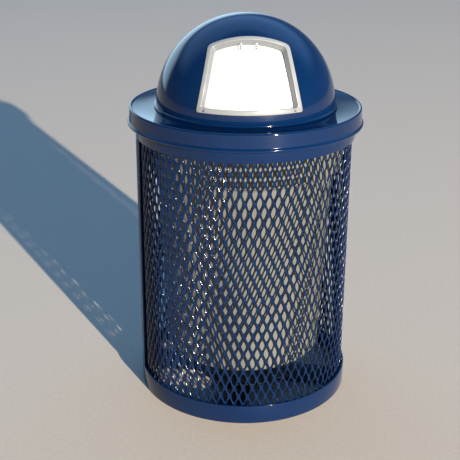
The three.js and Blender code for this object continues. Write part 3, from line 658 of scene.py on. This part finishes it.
def make_base():
    width, thick, lift = 0.096, 0.006, 0.006
    corners_at = 0.2982  # radius that the bars' corners reach, inside the bottom band
    hole, plate_radius, plate_thick = 0.007, 0.125, 0.005
    reach = math.sqrt(corners_at**2 - (width / 2) ** 2)
    middle = lift + thick / 2
    start = width / 2 + GAP
    long_bar = block("base_bar_across", (2 * reach, width, thick), (0, 0, middle))
    bored(long_bar, hole, (0, 0, middle), Vector((0, 0, 1)), 0.02)
    parts = [(long_bar, "base_bar_long")]
    for name, side in (("front", -1), ("back", 1)):
        length = reach - start
        spot = (0, side * (start + length / 2), middle)
        short_bar = block("base_bar_to_" + name, (width, length, thick), spot)
        parts.append((short_bar, "base_bar_" + name))
    low = lift + thick + GAP
    high = low + plate_thick
    outline = [(hole, low), (plate_radius, low), (plate_radius, high), (hole, high)]
    parts.append((turned("base_anchor_plate", outline, 96), "anchor_plate"))
    for piece, node in parts:
        ease(piece, 0.0008, 2)
        turned_by(piece, BASE_TURN)
        smooth(piece)
        fit(piece, "receptacle", BASE, "coated", node)


# ---------- Liner ----------


def make_liner():
    wall, bottom, flat = 0.003, 0.114, 0.200
    corner_at, corner = 0.208, 0.014
    taper_top, collar, rim = 0.2475, 0.273, 0.309  # radii, outside
    slope_low, slope_high = 0.662, 0.6755
    rim_low, rim_high = RIM_HIGH + GAP, LID_UNDER - GAP
    middle = bottom + corner
    outer = [(flat, bottom)]
    outer += arc(corner_at, middle, corner, -90, -4, 8)
    outer += [(taper_top, slope_low - 0.005), (taper_top + 0.0009, slope_low)]
    outer += [(taper_top + 0.003, slope_low + 0.003), (collar - 0.003, slope_high - 0.002)]
    outer += [(collar - 0.0007, slope_high), (collar, slope_high + 0.0035)]
    outer += [(collar, rim_low - 0.003), (collar + 0.0012, rim_low)]
    outer += [(rim - 0.0022, rim_low), (rim - 0.0004, rim_low + 0.0010), (rim, rim_low + 0.0022)]
    outer += [(rim - 0.0004, rim_high - 0.0010), (rim - 0.0022, rim_high)]
    inside = collar - wall
    inner = [(inside + 0.0015, rim_high), (inside + 0.0002, rim_high - 0.0010)]
    inner += [(inside, rim_high - 0.003), (inside, slope_high + 0.0055)]
    inner += [(inside - 0.0015, slope_high + 0.0025), (taper_top, slope_low + 0.006)]
    inner += [(taper_top - 0.0025, slope_low + 0.001)]
    inner += list(reversed(arc(corner_at, middle, corner - wall, -90, -4, 8)))
    inner += [(flat, bottom + wall)]
    piece = turned("liner_bucket", outer + inner, ring=False)
    smooth(piece, 30)
    fit(piece, "liner", LINER, "liner", "liner")


# ---------- Lid and dome ----------


def make_lid():
    """A flat ring with a raised rim, a skirt and a rolled bead that meets the skirt in a fillet."""
    skirt = LID_OUT + 0.002
    sheet = LID_TOP - LID_UNDER
    bead_low = LID_TOP - 0.046
    bead_radius, fillet, meets = 0.0055, 0.003, 60
    bead_middle = bead_low + bead_radius
    bead_centre = skirt + fillet / 2 - bead_radius / 2
    fillet_height = bead_middle + (bead_radius + fillet) * math.sin(math.radians(meets))
    outline = [(LID_IN, LID_UNDER), (LID_OUT - 0.0080, LID_UNDER)]
    outline += [(LID_OUT - 0.0050, LID_UNDER + 0.0006), (LID_OUT - 0.0032, LID_UNDER + 0.0002)]
    outline += [(LID_OUT - 0.0028, LID_UNDER - 0.002)]
    outline += [(skirt - sheet, bead_middle + bead_radius), (skirt - sheet, bead_low + 0.0015)]
    outline += [(skirt - 0.0015, bead_low + 0.0002)]
    outline += arc(bead_centre, bead_middle, bead_radius, -75, meets, 12)
    outline += arc(skirt + fillet, fillet_height, fillet, 180 + meets, 180, 8)[1:]
    outline += [(LID_OUT + 0.0003, LID_UNDER - 0.0005)]
    rim = [(-0.0001, 0.0), (0.0004, 0.0014), (0.0013, 0.0026), (0.0026, 0.0033)]
    rim += [(0.0038, 0.0034), (0.0050, 0.0030), (0.0062, 0.0018), (0.0074, 0.0006), (0.0090, 0.0)]
    outline += [(LID_OUT - inwards, LID_TOP + rise) for inwards, rise in rim]
    outline += [(LID_IN + 0.0006, LID_TOP), (LID_IN, LID_TOP - 0.0006)]
    piece = turned("lid_flat_ring", outline)
    smooth(piece, 32)
    fit(piece, "lid", NAVY, "coated", "lid_ring")


def opening_half(height):
    return OPEN_HALF - OPEN_NARROWS * (height - OPEN_LOW)


def arch_height(x):
    return OPEN_HIGH - OPEN_ARCH + math.sqrt(OPEN_ARCH**2 - x * x)


def direction(x, height):
    """From the dome's centre to a point of the frame's face, seen from the front."""
    return Vector((x, -math.sqrt(FRAME_FACE**2 - x * x - height * height), height)).normalized()


CORNER_STEPS = 16
FOOT_CORNER = 0.008  # from an opening's corner to where its rounding starts
HEAD_CORNER = 0.009


def right_half_line():
    """The opening's outline from the middle of the sill, up the right side, to the middle of
    the arch, and where its lower and its upper corner start in it."""
    head_height = OPEN_HIGH
    for _ in range(20):
        head_height = arch_height(opening_half(head_height))
    side = Vector((-OPEN_NARROWS, 1)).normalized()
    foot = Vector((OPEN_HALF, OPEN_LOW))
    head = Vector((opening_half(head_height), head_height))
    foot_start, foot_end = foot - Vector((FOOT_CORNER, 0)), foot + side * FOOT_CORNER
    head_start = head - side * HEAD_CORNER
    head_x = head.x - HEAD_CORNER
    head_end = Vector((head_x, arch_height(head_x)))

    def straight(a, b, steps):
        return [a.lerp(b, i / steps) for i in range(steps)]

    def rounded(a, corner, b):
        steps = CORNER_STEPS
        return [
            a.lerp(corner, i / steps).lerp(corner.lerp(b, i / steps), i / steps)
            for i in range(steps)
        ]

    sill = straight(Vector((0, OPEN_LOW)), foot_start, 16)
    line = sill + rounded(foot_start, foot, foot_end)
    line += straight(foot_end, head_start, 20)
    head_corner = len(line)
    line += rounded(head_start, head, head_end)
    arch = [head_x * (1 - i / 16) for i in range(17)]
    line += [Vector((x, arch_height(x))) for x in arch]
    return line, len(sill), head_corner


def mirrored(line):
    return [Vector((-p.x, p.y)) for p in line]


def on_dome(line, section, closed=False):
    """Sections of a strip that follows a line on the dome: each point of the section is an
    arc length outwards from the line and a radius from the dome's centre."""
    middle = direction(0, (OPEN_LOW + OPEN_HIGH) / 2)
    spots = [direction(p.x, p.y) for p in line]
    count = len(spots)
    rings = []
    for i, here in enumerate(spots):
        before = spots[(i - 1) % count if closed else max(i - 1, 0)]
        after = spots[(i + 1) % count if closed else min(i + 1, count - 1)]
        outwards = (after - before).normalized().cross(here).normalized()
        if outwards.dot(middle - here) > 0:
            outwards.negate()
        ring = []
        for offset, radius in section:
            angle = offset / FRAME_FACE
            spot = here * math.cos(angle) + outwards * math.sin(angle)
            ring.append(DOME_CENTRE + spot * radius)
        rings.append(ring)
    return rings


def opening_cutter():
    outside, near, far = FRAME_WALL + 0.0004, 0.205, 0.270
    line = right_half_line()[0]
    loop = line + list(reversed(mirrored(line[1:-1])))
    rings = on_dome(loop, [(outside, near), (outside, far)], True)
    count = len(rings)
    points = [p for ring in rings for p in ring]
    middle = direction(0, (OPEN_LOW + OPEN_HIGH) / 2)
    points += [DOME_CENTRE + middle * near, DOME_CENTRE + middle * far]
    faces = []
    for i in range(count):
        j = (i + 1) % count
        faces.append((2 * i, 2 * j, 2 * j + 1, 2 * i + 1))
        faces.append((2 * j, 2 * i, 2 * count))
        faces.append((2 * i + 1, 2 * j + 1, 2 * count + 1))
    cutter = surface("opening_cutter", points, faces)
    close_up(cutter)
    return cutter


def make_dome():
    base = LID_TOP + GAP
    bead_radius, bead_height = 0.003, 0.0068
    deselect()
    bpy.ops.mesh.primitive_uv_sphere_add(
        segments=192, ring_count=128, radius=DOME_RADIUS, location=DOME_CENTRE
    )
    dome = named("dome_shell")
    edit_all()
    bpy.ops.mesh.bisect(plane_co=(0, 0, base + 0.004), plane_no=(0, 0, 1), clear_inner=True)
    bpy.ops.object.mode_set(mode="OBJECT")
    modify(dome, "SOLIDIFY", thickness=DOME_WALL, offset=-1)
    cutter = opening_cutter()
    modify(dome, "BOOLEAN", operation="DIFFERENCE", solver="EXACT", object=cutter)
    drop_helper(cutter)
    smooth(dome, 35)
    fit(dome, "lid", NAVY, "coated", "dome")
    inside, bead_at = DOME_RADIUS - 0.0028, DOME_RADIUS + 0.0020
    outline = [(inside, base), (bead_at + 0.0018, base)]
    outline += arc(bead_at, base + bead_radius, bead_radius, -60, 60, 8)
    outline += [(bead_at - 0.0001, base + 0.0063), (DOME_RADIUS + 0.0002, base + bead_height)]
    outline += [(inside, base + bead_height)]
    bead = turned("dome_base_bead", outline)
    smooth(bead, 40)
    fit(bead, "lid", NAVY, "coated", "dome")


FRAME_WIDTH = 0.0125
FRAME_SECTION = [  # (out from the opening's edge, radius from the dome's centre)
    (0.0000, FRAME_BACK + 0.0004),
    (0.0004, FRAME_BACK),
    (FRAME_WALL - 0.0004, FRAME_BACK),
    (FRAME_WALL, FRAME_BACK + 0.0004),
    (FRAME_WALL, DOME_RADIUS + GAP),
    (FRAME_WIDTH - 0.0010, DOME_RADIUS + GAP),
    (FRAME_WIDTH - 0.0002, DOME_RADIUS + 0.0006),
    (FRAME_WIDTH, DOME_RADIUS + 0.0012),
    (FRAME_WIDTH - 0.0003, FRAME_FACE - 0.0008),
    (FRAME_WIDTH - 0.0012, FRAME_FACE - 0.0002),
    (FRAME_WIDTH - 0.0025, FRAME_FACE),
    (0.0016, FRAME_FACE),
    (0.0008, FRAME_FACE - 0.0002),
    (0.0002, FRAME_FACE - 0.0007),
    (0.0000, FRAME_FACE - 0.0014),
]


def outer_edge(line, corners):
    """Points round the frame's outside, one for each point of the opening's outline. Each corner
    is (its start, the length of its rounding)."""
    edge = [ring[0] for ring in on_dome(line, [(FRAME_WIDTH, FRAME_FACE)])]
    for start, size in corners:
        end = start + CORNER_STEPS
        a, b = edge[start], edge[end]
        on_a, on_b = intersect_line_line(edge[start - 1], a, b, edge[end + 1])
        corner = (on_a + on_b) / 2
        near_a = corner + (a - corner).normalized() * size
        near_b = corner + (b - corner).normalized() * size
        for i in range(CORNER_STEPS + 1):
            share = i / CORNER_STEPS
            if share < 0.25:
                edge[start + i] = a.lerp(near_a, share / 0.25)
            elif share > 0.75:
                edge[start + i] = near_b.lerp(b, (share - 0.75) / 0.25)
            else:
                t = (share - 0.25) / 0.5
                edge[start + i] = near_a.lerp(corner, t).lerp(corner.lerp(near_b, t), t)
    return edge


def frame_sections(inner, outer):
    rings = []
    for near, far in zip(inner, outer):
        ring = []
        for offset, radius in FRAME_SECTION:
            way = near.lerp(far, offset / FRAME_WIDTH) - DOME_CENTRE
            ring.append(DOME_CENTRE + way.normalized() * radius)
        rings.append(ring)
    return rings


def make_frame():
    line, foot, head = right_half_line()
    inner = [DOME_CENTRE + direction(p.x, p.y) * FRAME_FACE for p in line]
    foot_rounding, head_rounding, mitre_gap = 0.0065, 0.012, 0.0002
    outer = outer_edge(line, ((foot, foot_rounding), (head, head_rounding)))
    mitre = foot + CORNER_STEPS // 2

    def other_side(points):
        return [Vector((-p.x, p.y, p.z)) for p in points]

    def whole(points, name):
        if name == "frame_arch_and_sides":
            half = points[mitre:]
            path = other_side(half[:-1]) + [half[-1]] + list(reversed(half[:-1]))
        else:
            half = points[: mitre + 1]
            path = list(reversed(other_side(half[1:]))) + half
        for end, following in ((0, 1), (-1, -2)):
            path[end] = path[end] + (path[following] - path[end]).normalized() * mitre_gap
        return path

    for name, node in (("frame_arch_and_sides", "frame_hoop"), ("frame_sill_strip", "frame_sill")):
        piece = loft(name, frame_sections(whole(inner, name), whole(outer, name)))
        smooth(piece, 40)
        fit(piece, "lid", FRAME, "frame", node)


# ---------- Rivets ----------


def rivets(grip, body, finish, slot, places):
    """Rivets of one length, each from (name, node, point, axis): a domed head on the -axis side
    of the point and a flattened tail beyond the grip."""
    seat = 0.0005
    top = -seat - RIVET_HEAD_HEIGHT
    outline = [(0.0004, top), (0.0012, top + 0.00008), (0.0021, top + 0.0003)]
    outline += [(0.0028, top + 0.0007), (0.0033, top + 0.0012), (RIVET_HEAD, -seat - 0.0001)]
    outline += [(RIVET_HEAD - 0.0001, -seat), (RIVET_SHANK, -seat), (RIVET_SHANK, grip + seat)]
    outline += [(0.0028, grip + seat), (0.0030, grip + seat + 0.0002)]
    outline += [(0.0029, grip + seat + 0.0009), (0.0022, grip + seat + 0.0013)]
    outline += [(0.0004, grip + seat + 0.0014)]
    first = turned(places[0][0], outline, 32, ring=False)
    pieces = [first] + [copied(first, name) for name, _, _, _ in places[1:]]
    for piece, (_, node, point, axis) in zip(pieces, places):
        stand(piece, point, axis)
        smooth(piece, 45)
        fit(piece, body, finish, slot, node)


# ---------- Hinge ----------

BRACKET_ANGLE = math.asin(OPEN_HIGH / FRAME_FACE) + FRAME_WALL / FRAME_FACE
REACH = Vector((0, -math.cos(BRACKET_ANGLE), math.sin(BRACKET_ANGLE)))
ABOVE = Vector((0, math.sin(BRACKET_ANGLE), math.cos(BRACKET_ANGLE)))
BRACKET_START = FRAME_BACK + 0.0002
BRACKET_END = 0.238
STRAP_PITCH = 0.040
STRAP_WIDE = 0.012
STRAP_LENGTH = 0.032
STRAP_THICKNESS = 0.0018
NEAR_EDGE = (STRAP_PITCH - STRAP_WIDE) / 2
STRAP_INSIDE = math.sqrt(DOOR_FACE**2 - NEAR_EDGE**2) + GAP
STRAP_OUTSIDE = STRAP_INSIDE + STRAP_THICKNESS
EAR_INSIDE = 0.029
EAR_THICKNESS = 0.0025
EAR_RADIUS = 0.0055
BRACKET_TOP = 0.0023


def by_pin(x, along, outwards):
    return PIN + DOWNWARDS * along + OUTWARDS * outwards + Vector((x, 0, 0))


def on_curve(x, along, radius):
    """A point at a distance down the door's curve from the pin, and at a radius from the
    dome's centre."""
    angle = PIN_ANGLE - along / DOOR_FACE
    return DOME_CENTRE + Vector((x, -math.cos(angle) * radius, math.sin(angle) * radius))


def on_bracket(x, reach, above):
    return DOME_CENTRE + REACH * reach + ABOVE * above + Vector((x, 0, 0))


def make_hinge_bracket():
    low, top = GAP, BRACKET_TOP
    end = EAR_INSIDE + EAR_THICKNESS
    corners = ((BRACKET_START, low), (BRACKET_END, low), (BRACKET_END, top), (BRACKET_START, top))
    blade = [on_bracket(-end, reach, above) for reach, above in corners]
    plate = extruded("hinge_bracket_plate", blade, (2 * end, 0, 0))
    turn = PIN_ANGLE - BRACKET_ANGLE
    distance = (PIN - DOME_CENTRE).length
    pin_reach, pin_above = distance * math.cos(turn), distance * math.sin(turn)
    for x in (-end, EAR_INSIDE):
        ear = [on_bracket(x, BRACKET_START, low), on_bracket(x, BRACKET_END, low)]
        ear.append(on_bracket(x, BRACKET_END, top))
        for i in range(19):
            angle = math.radians(50 + i * 13.8)
            reach = pin_reach + EAR_RADIUS * math.cos(angle)
            ear.append(on_bracket(x, reach, pin_above + EAR_RADIUS * math.sin(angle)))
        ear.append(on_bracket(x, BRACKET_START, top + 0.001))
        ear_piece = extruded("hinge_bracket_ear", ear, (EAR_THICKNESS, 0, 0))
        modify(plate, "BOOLEAN", operation="UNION", solver="EXACT", object=ear_piece)
        drop_helper(ear_piece)
    ease(plate, 0.0003, 2, 50)
    smooth(plate)
    fit(plate, "lid", ZINC, "zinc", "hinge_bracket")


def make_hinge_pin():
    deselect()
    half = EAR_INSIDE + EAR_THICKNESS + 0.002
    across = (0, math.pi / 2, 0)
    bpy.ops.mesh.primitive_cylinder_add(
        vertices=48, radius=PIN_RADIUS, depth=2 * half, location=PIN, rotation=across
    )
    pin = named("hinge_pin_rod")
    ease(pin, 0.0005, 3)
    smooth(pin)
    fit(pin, "lid", ZINC, "zinc", "hinge_pin")


def make_hinge_straps():
    distance = (PIN - DOME_CENTRE).length
    curl = STRAP_OUTSIDE - distance
    meets = math.asin((STRAP_INSIDE - distance) / curl)
    start = math.cos(meets) * curl

    leaf = []
    x = -(STRAP_PITCH + STRAP_WIDE) / 2
    for i in range(33):
        angle = math.pi / 2 + (1.5 * math.pi + meets) * i / 32
        leaf.append(by_pin(x, math.cos(angle) * curl, math.sin(angle) * curl))
    for i in range(1, 13):
        leaf.append(on_curve(x, start + (STRAP_LENGTH - start) * i / 12, STRAP_INSIDE))
    for i in range(12):
        leaf.append(on_curve(x, STRAP_LENGTH * (1 - i / 12), STRAP_OUTSIDE))
    left = extruded("door_hinge_strap_left", leaf, (STRAP_WIDE, 0, 0))
    bored(left, PIN_RADIUS + GAP, PIN, Vector((1, 0, 0)), 0.2)
    ease(left, 0.0004, 2, 50)
    right = copied(left, "door_hinge_strap_right")
    right.data.transform(Matrix.Translation((STRAP_PITCH, 0, 0)))
    for strap, node in ((left, "hinge_strap_left"), (right, "hinge_strap_right")):
        smooth(strap)
        fit(strap, "door", DOOR, "door", node)


def make_hinge_rivets():
    reach = (BRACKET_START + BRACKET_END) / 2
    x = STRAP_PITCH / 2
    face_x = x * FRAME_FACE / reach
    above = (direction(face_x, arch_height(face_x)) * reach).dot(ABOVE)
    places = []
    for name, side in (("left", -1), ("right", 1)):
        point = on_bracket(side * x, reach, above)
        places.append(("hinge_bracket_rivet_" + name, "hinge_rivet_" + name, point, ABOVE))
    rivets(BRACKET_TOP - above, "lid", ZINC, "zinc", places)


def make_strap_rivets():
    inside = math.sqrt(BEHIND_DOOR**2 - (STRAP_PITCH / 2) ** 2)
    places = []
    for side_name, side in (("left", -1), ("right", 1)):
        for level, along in (("upper", 0.0195), ("lower", 0.027)):
            x = side * STRAP_PITCH / 2
            head = on_curve(x, along, STRAP_OUTSIDE)
            axis = (on_curve(x, along, STRAP_INSIDE) - head).normalized()
            place = f"{side_name}_{level}"
            places.append(("door_strap_rivet_" + place, "strap_rivet_" + place, head, axis))
    rivets(STRAP_OUTSIDE - inside, "door", ZINC, "zinc", places)


def make_frame_rivets():
    grip = FRAME_FACE - DOME_RADIUS + DOME_WALL + 0.0018
    places = []
    for name, side in (("left", -1), ("right", 1)):
        outwards = direction(side * (OPEN_HALF - 0.009), OPEN_LOW - FRAME_WIDTH / 2)
        point = DOME_CENTRE + outwards * FRAME_FACE
        places.append(("frame_corner_rivet_" + name, "frame_rivet_" + name, point, -outwards))
    rivets(grip, "lid", FRAME, "frame", places)


# ---------- Springs ----------


def spring_line(side):
    """A leg under the dome, the curls round the pin and a leg down the back of the door."""
    wire, curl, pitch = 0.0009, 0.0046, 0.00235
    dome_leg, door_leg, from_middle = 0.029, 0.026, 0.0014
    steps = 24
    start = math.radians(225)
    turns = 4 + 1 / 8
    near = from_middle + wire
    far = near + turns * pitch
    line = []
    for share in (1, 0.8, 0.6, 0.4, 0.2):
        reach = dome_leg * share
        along = curl * math.cos(start) + reach * math.sin(start)
        outwards = curl * math.sin(start) - reach * math.cos(start)
        line.append(by_pin(side * far, along, outwards))
    for i in range(round(turns * steps) + 1):
        angle = start + i / steps * 2 * math.pi
        x = far - i / steps * pitch
        line.append(by_pin(side * x, curl * math.cos(angle), curl * math.sin(angle)))
    rests_at = BEHIND_DOOR - GAP - wire
    drop = math.sqrt(rests_at**2 - door_leg**2) - (PIN - DOME_CENTRE).length
    for share in (0.2, 0.4, 0.6, 0.8, 1):
        line.append(by_pin(side * near, door_leg * share, -curl + (drop + curl) * share))
    return line


def make_springs():
    for name, side in (("left", -1), ("right", 1)):
        line = spring_line(side)
        curve = bpy.data.curves.new("door_spring_wire_" + name, "CURVE")
        curve.dimensions = "3D"
        curve.bevel_depth = 0.00088
        curve.bevel_resolution = 4
        curve.use_fill_caps = True
        spline = curve.splines.new("POLY")
        spline.points.add(len(line) - 1)
        for point, spot in zip(spline.points, line):
            point.co = (*spot, 1)
        piece = bpy.data.objects.new("door_spring_wire_" + name, curve)
        bpy.context.collection.objects.link(piece)
        only(piece)
        bpy.ops.object.convert(target="MESH")
        piece = bpy.context.active_object
        close_up(piece)
        smooth(piece, 50)
        piece.data.materials.clear()
        piece.data.materials.append(ZINC)
        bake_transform(piece)
        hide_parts("door_spring_" + name)


# ---------- Door ----------


def make_door():
    columns, rows = 60, 44
    thickness, overlap, overlap_top = 0.002, 0.005, 0.003
    low = OPEN_LOW - overlap

    def spot(s, t):
        top = OPEN_HIGH
        for _ in range(20):
            top = arch_height(s * (opening_half(top) + overlap)) + overlap_top
        height = low + t * (top - low)
        return direction(s * (opening_half(height) + overlap), height)

    deselect()
    bpy.ops.mesh.primitive_grid_add(x_subdivisions=columns, y_subdivisions=rows, size=2)
    door = named("door_panel_shell")
    for vertex in door.data.vertices:
        s, t = vertex.co.x, (vertex.co.y + 1) / 2
        vertex.co = DOME_CENTRE + spot(s, t) * DOOR_FACE
    door.data.update()
    only(door)
    edit_all()
    faces_out()
    middle = door.data.polygons[len(door.data.polygons) // 2]
    if middle.normal.dot(middle.center - DOME_CENTRE) < 0:
        door.data.flip_normals()
    modify(door, "SOLIDIFY", thickness=thickness, offset=-1)
    ease(door, 0.0006, 2, 60)
    smooth(door, 40)
    fit(door, "door", DOOR, "door", "door_panel")


def make_door_stops():
    spread, half_length, deep = 1.28 * OPEN_HALF, 0.008, 0.006
    low, high = DOOR_FACE + GAP, FRAME_BACK - GAP
    section = [(GAP, low), (deep, low), (deep, high), (GAP, high)]
    for name, side in (("left", -1), ("right", 1)):
        middle = side * spread / 2
        line = [Vector((middle + half_length * i / 4, OPEN_LOW)) for i in range(-4, 5)]
        stop = loft("door_stop_pad_" + name, on_dome(line, section))
        ease(stop, 0.0006, 2)
        smooth(stop)
        fit(stop, "lid", RUBBER, "rubber", "door_stop_" + name)


# ---------- Clips ----------


def make_clips():
    radius, width, leg, rise, thick = 0.2414, 0.020, 0.013, 0.018, 0.002
    rivet_in, grip = 0.0075, 0.0053
    foot = LID_TOP + GAP
    top = foot + rise
    corners = [(radius - leg, foot), (radius, foot), (radius, top), (radius - thick, top)]
    corners += [(radius - thick, foot + thick), (radius - leg, foot + thick)]
    ring = [(-width / 2, -r, z) for r, z in corners]
    first = extruded("dome_clip_angle_1", ring, (width, 0, 0))
    ease(first, 0.0005, 2)
    clips = [first] + [copied(first, f"dome_clip_angle_{i}") for i in (2, 3, 4)]
    places = []
    for i, (clip, azimuth) in enumerate(zip(clips, (56.25, 123.75, -56.25, -123.75)), 1):
        turn = math.radians(azimuth)
        turned_by(clip, turn)
        smooth(clip)
        fit(clip, "lid", ZINC, "zinc", f"dome_clip_{i}")
        hole = radius - rivet_in
        point = Vector((hole * math.sin(turn), -hole * math.cos(turn), LID_UNDER))
        places.append((f"dome_clip_rivet_{i}", f"clip_rivet_{i}", point, Vector((0, 0, 1))))
    rivets(grip, "lid", ZINC, "zinc", places)


make_bands()
make_wall()
make_seam_straps()
make_base()
make_liner()
make_lid()
make_dome()
make_frame()
make_frame_rivets()
make_door()
make_door_stops()
make_hinge_bracket()
make_hinge_pin()
make_hinge_straps()
make_hinge_rivets()
make_strap_rivets()
make_springs()
make_clips()


# ---------- Floor, lights and camera ----------


def make_floor():
    deselect()
    bpy.ops.mesh.primitive_plane_add(size=60, location=(0, 0, -0.0002))
    floor = named("floor")
    finish = Finish("pale_floor", ior=1.12)
    tone = finish.between(finish.noise(90.0, 4.0, 0.6), 0.3, 0.7)
    finish.colour(finish.blend(tone, (0.65, 0.545, 0.42), (0.71, 0.60, 0.465)))
    finish.roughness(8.0, 3.0, 0.65, 0.8)
    finish.relief(300.0, 2.0, 0.1, 0.0006)
    floor.data.materials.append(finish.material)


def make_light(name, azimuth, elevation, distance, size, power, colour):
    target = Vector((0, 0, 0.6))
    data = bpy.data.lights.new(name, "AREA")
    data.shape = "DISK"
    data.size = size
    data.energy = power
    data.color = colour
    lamp = bpy.data.objects.new(name, data)
    bpy.context.collection.objects.link(lamp)
    a, e = math.radians(azimuth), math.radians(elevation)
    way = Vector((math.sin(a) * math.cos(e), -math.cos(a) * math.cos(e), math.sin(e)))
    lamp.location = target + way * distance
    lamp.rotation_euler = (-way).to_track_quat("-Z", "Y").to_euler()


def make_world():
    """A pale horizon under a deeper blue, with two brighter stretches behind the object: a wide
    one high up, and a narrow one low on the left."""
    world = bpy.data.worlds.new("soft_sky")
    bpy.context.scene.world = world
    world.use_nodes = True
    tree = world.node_tree
    tree.nodes.clear()

    def link(source, target):
        tree.links.new(source, target)

    def between(source, low, high):
        step = tree.nodes.new("ShaderNodeMapRange")
        step.inputs["From Min"].default_value = low
        step.inputs["From Max"].default_value = high
        link(source, step.inputs["Value"])
        return step.outputs["Result"]

    where = tree.nodes.new("ShaderNodeTexCoord").outputs["Generated"]
    split = tree.nodes.new("ShaderNodeSeparateXYZ")
    link(where, split.inputs["Vector"])
    height = split.outputs["Z"]
    ramp = tree.nodes.new("ShaderNodeValToRGB")
    link(height, ramp.inputs["Fac"])
    low, high = ramp.color_ramp.elements
    low.position, high.position = 0.0, 0.9
    low.color = (0.13, 0.21, 0.36, 1)
    high.color = (0.05, 0.13, 0.32, 1)
    ramp.color_ramp.elements.new(0.35).color = (0.065, 0.145, 0.33, 1)

    def stretch(azimuth, edges, heights, under, colour):
        """Lays a brighter stretch of sky over what is under it, round an azimuth that is counted
        from the back towards -X. It starts and is full at the two edges, which are cosines of
        the angle from that azimuth, and likewise at each pair of heights."""
        way = tree.nodes.new("ShaderNodeVectorMath")
        way.operation = "DOT_PRODUCT"
        link(where, way.inputs[0])
        turn = math.radians(azimuth)
        way.inputs[1].default_value = (-math.sin(turn), math.cos(turn), 0)
        amount = between(way.outputs["Value"], *edges)
        for start, end in heights:
            product = tree.nodes.new("ShaderNodeMath")
            product.operation = "MULTIPLY"
            link(amount, product.inputs[0])
            link(between(height, start, end), product.inputs[1])
            amount = product.outputs["Value"]
        mix = tree.nodes.new("ShaderNodeMix")
        mix.data_type = "RGBA"
        link(amount, mix.inputs[0])
        link(under, mix.inputs[6])
        mix.inputs[7].default_value = (*colour, 1)
        return mix.outputs[2]

    high_up, low_down = ((0.30, 0.50), (0.97, 0.85)), ((0.36, 0.27),)
    sky = stretch(0, (0.10, 0.45), high_up, ramp.outputs["Color"], (0.40, 0.85, 1.65))
    sky = stretch(22, (0.84, 0.92), low_down, sky, (1.4, 2.1, 2.7))
    shade = tree.nodes.new("ShaderNodeBackground")
    link(sky, shade.inputs["Color"])
    out = tree.nodes.new("ShaderNodeOutputWorld")
    link(shade.outputs["Background"], out.inputs["Surface"])
    shade.inputs["Strength"].default_value = 0.8


def make_camera():
    data = bpy.data.cameras.new("camera")
    picture_width, focal_length = 460, 964.1  # of the photograph, in pixels
    data.sensor_width = 36.0
    data.lens = data.sensor_width * focal_length / picture_width
    data.clip_start = 0.1
    data.clip_end = 200
    camera = bpy.data.objects.new("camera", data)
    bpy.context.collection.objects.link(camera)
    pitch, roll, turn = 0.3720, 0.0050, math.radians(-1.94)
    forward = Vector((0, math.cos(pitch), -math.sin(pitch)))
    up = Vector((0, math.sin(pitch), math.cos(pitch)))
    right = Vector((1, 0, 0))
    tilted_right = right * math.cos(roll) + up * math.sin(roll)
    tilted_up = up * math.cos(roll) - right * math.sin(roll)
    place = Matrix((tilted_right, tilted_up, -forward)).transposed().to_4x4()
    place.translation = Vector((-0.0411, -2.6090, 1.4764))
    camera.matrix_world = Matrix.Rotation(turn, 4, "Z") @ place
    bpy.context.scene.camera = camera


make_floor()
make_light(
    "key_light",
    azimuth=26.5,
    elevation=13.5,
    distance=40.0,
    size=0.46,
    power=42500,
    colour=(1.0, 0.93, 0.82),
)
make_world()
make_camera()
bpy.context.scene.view_settings.view_transform = "Standard"

bpy.context.view_layer.update()
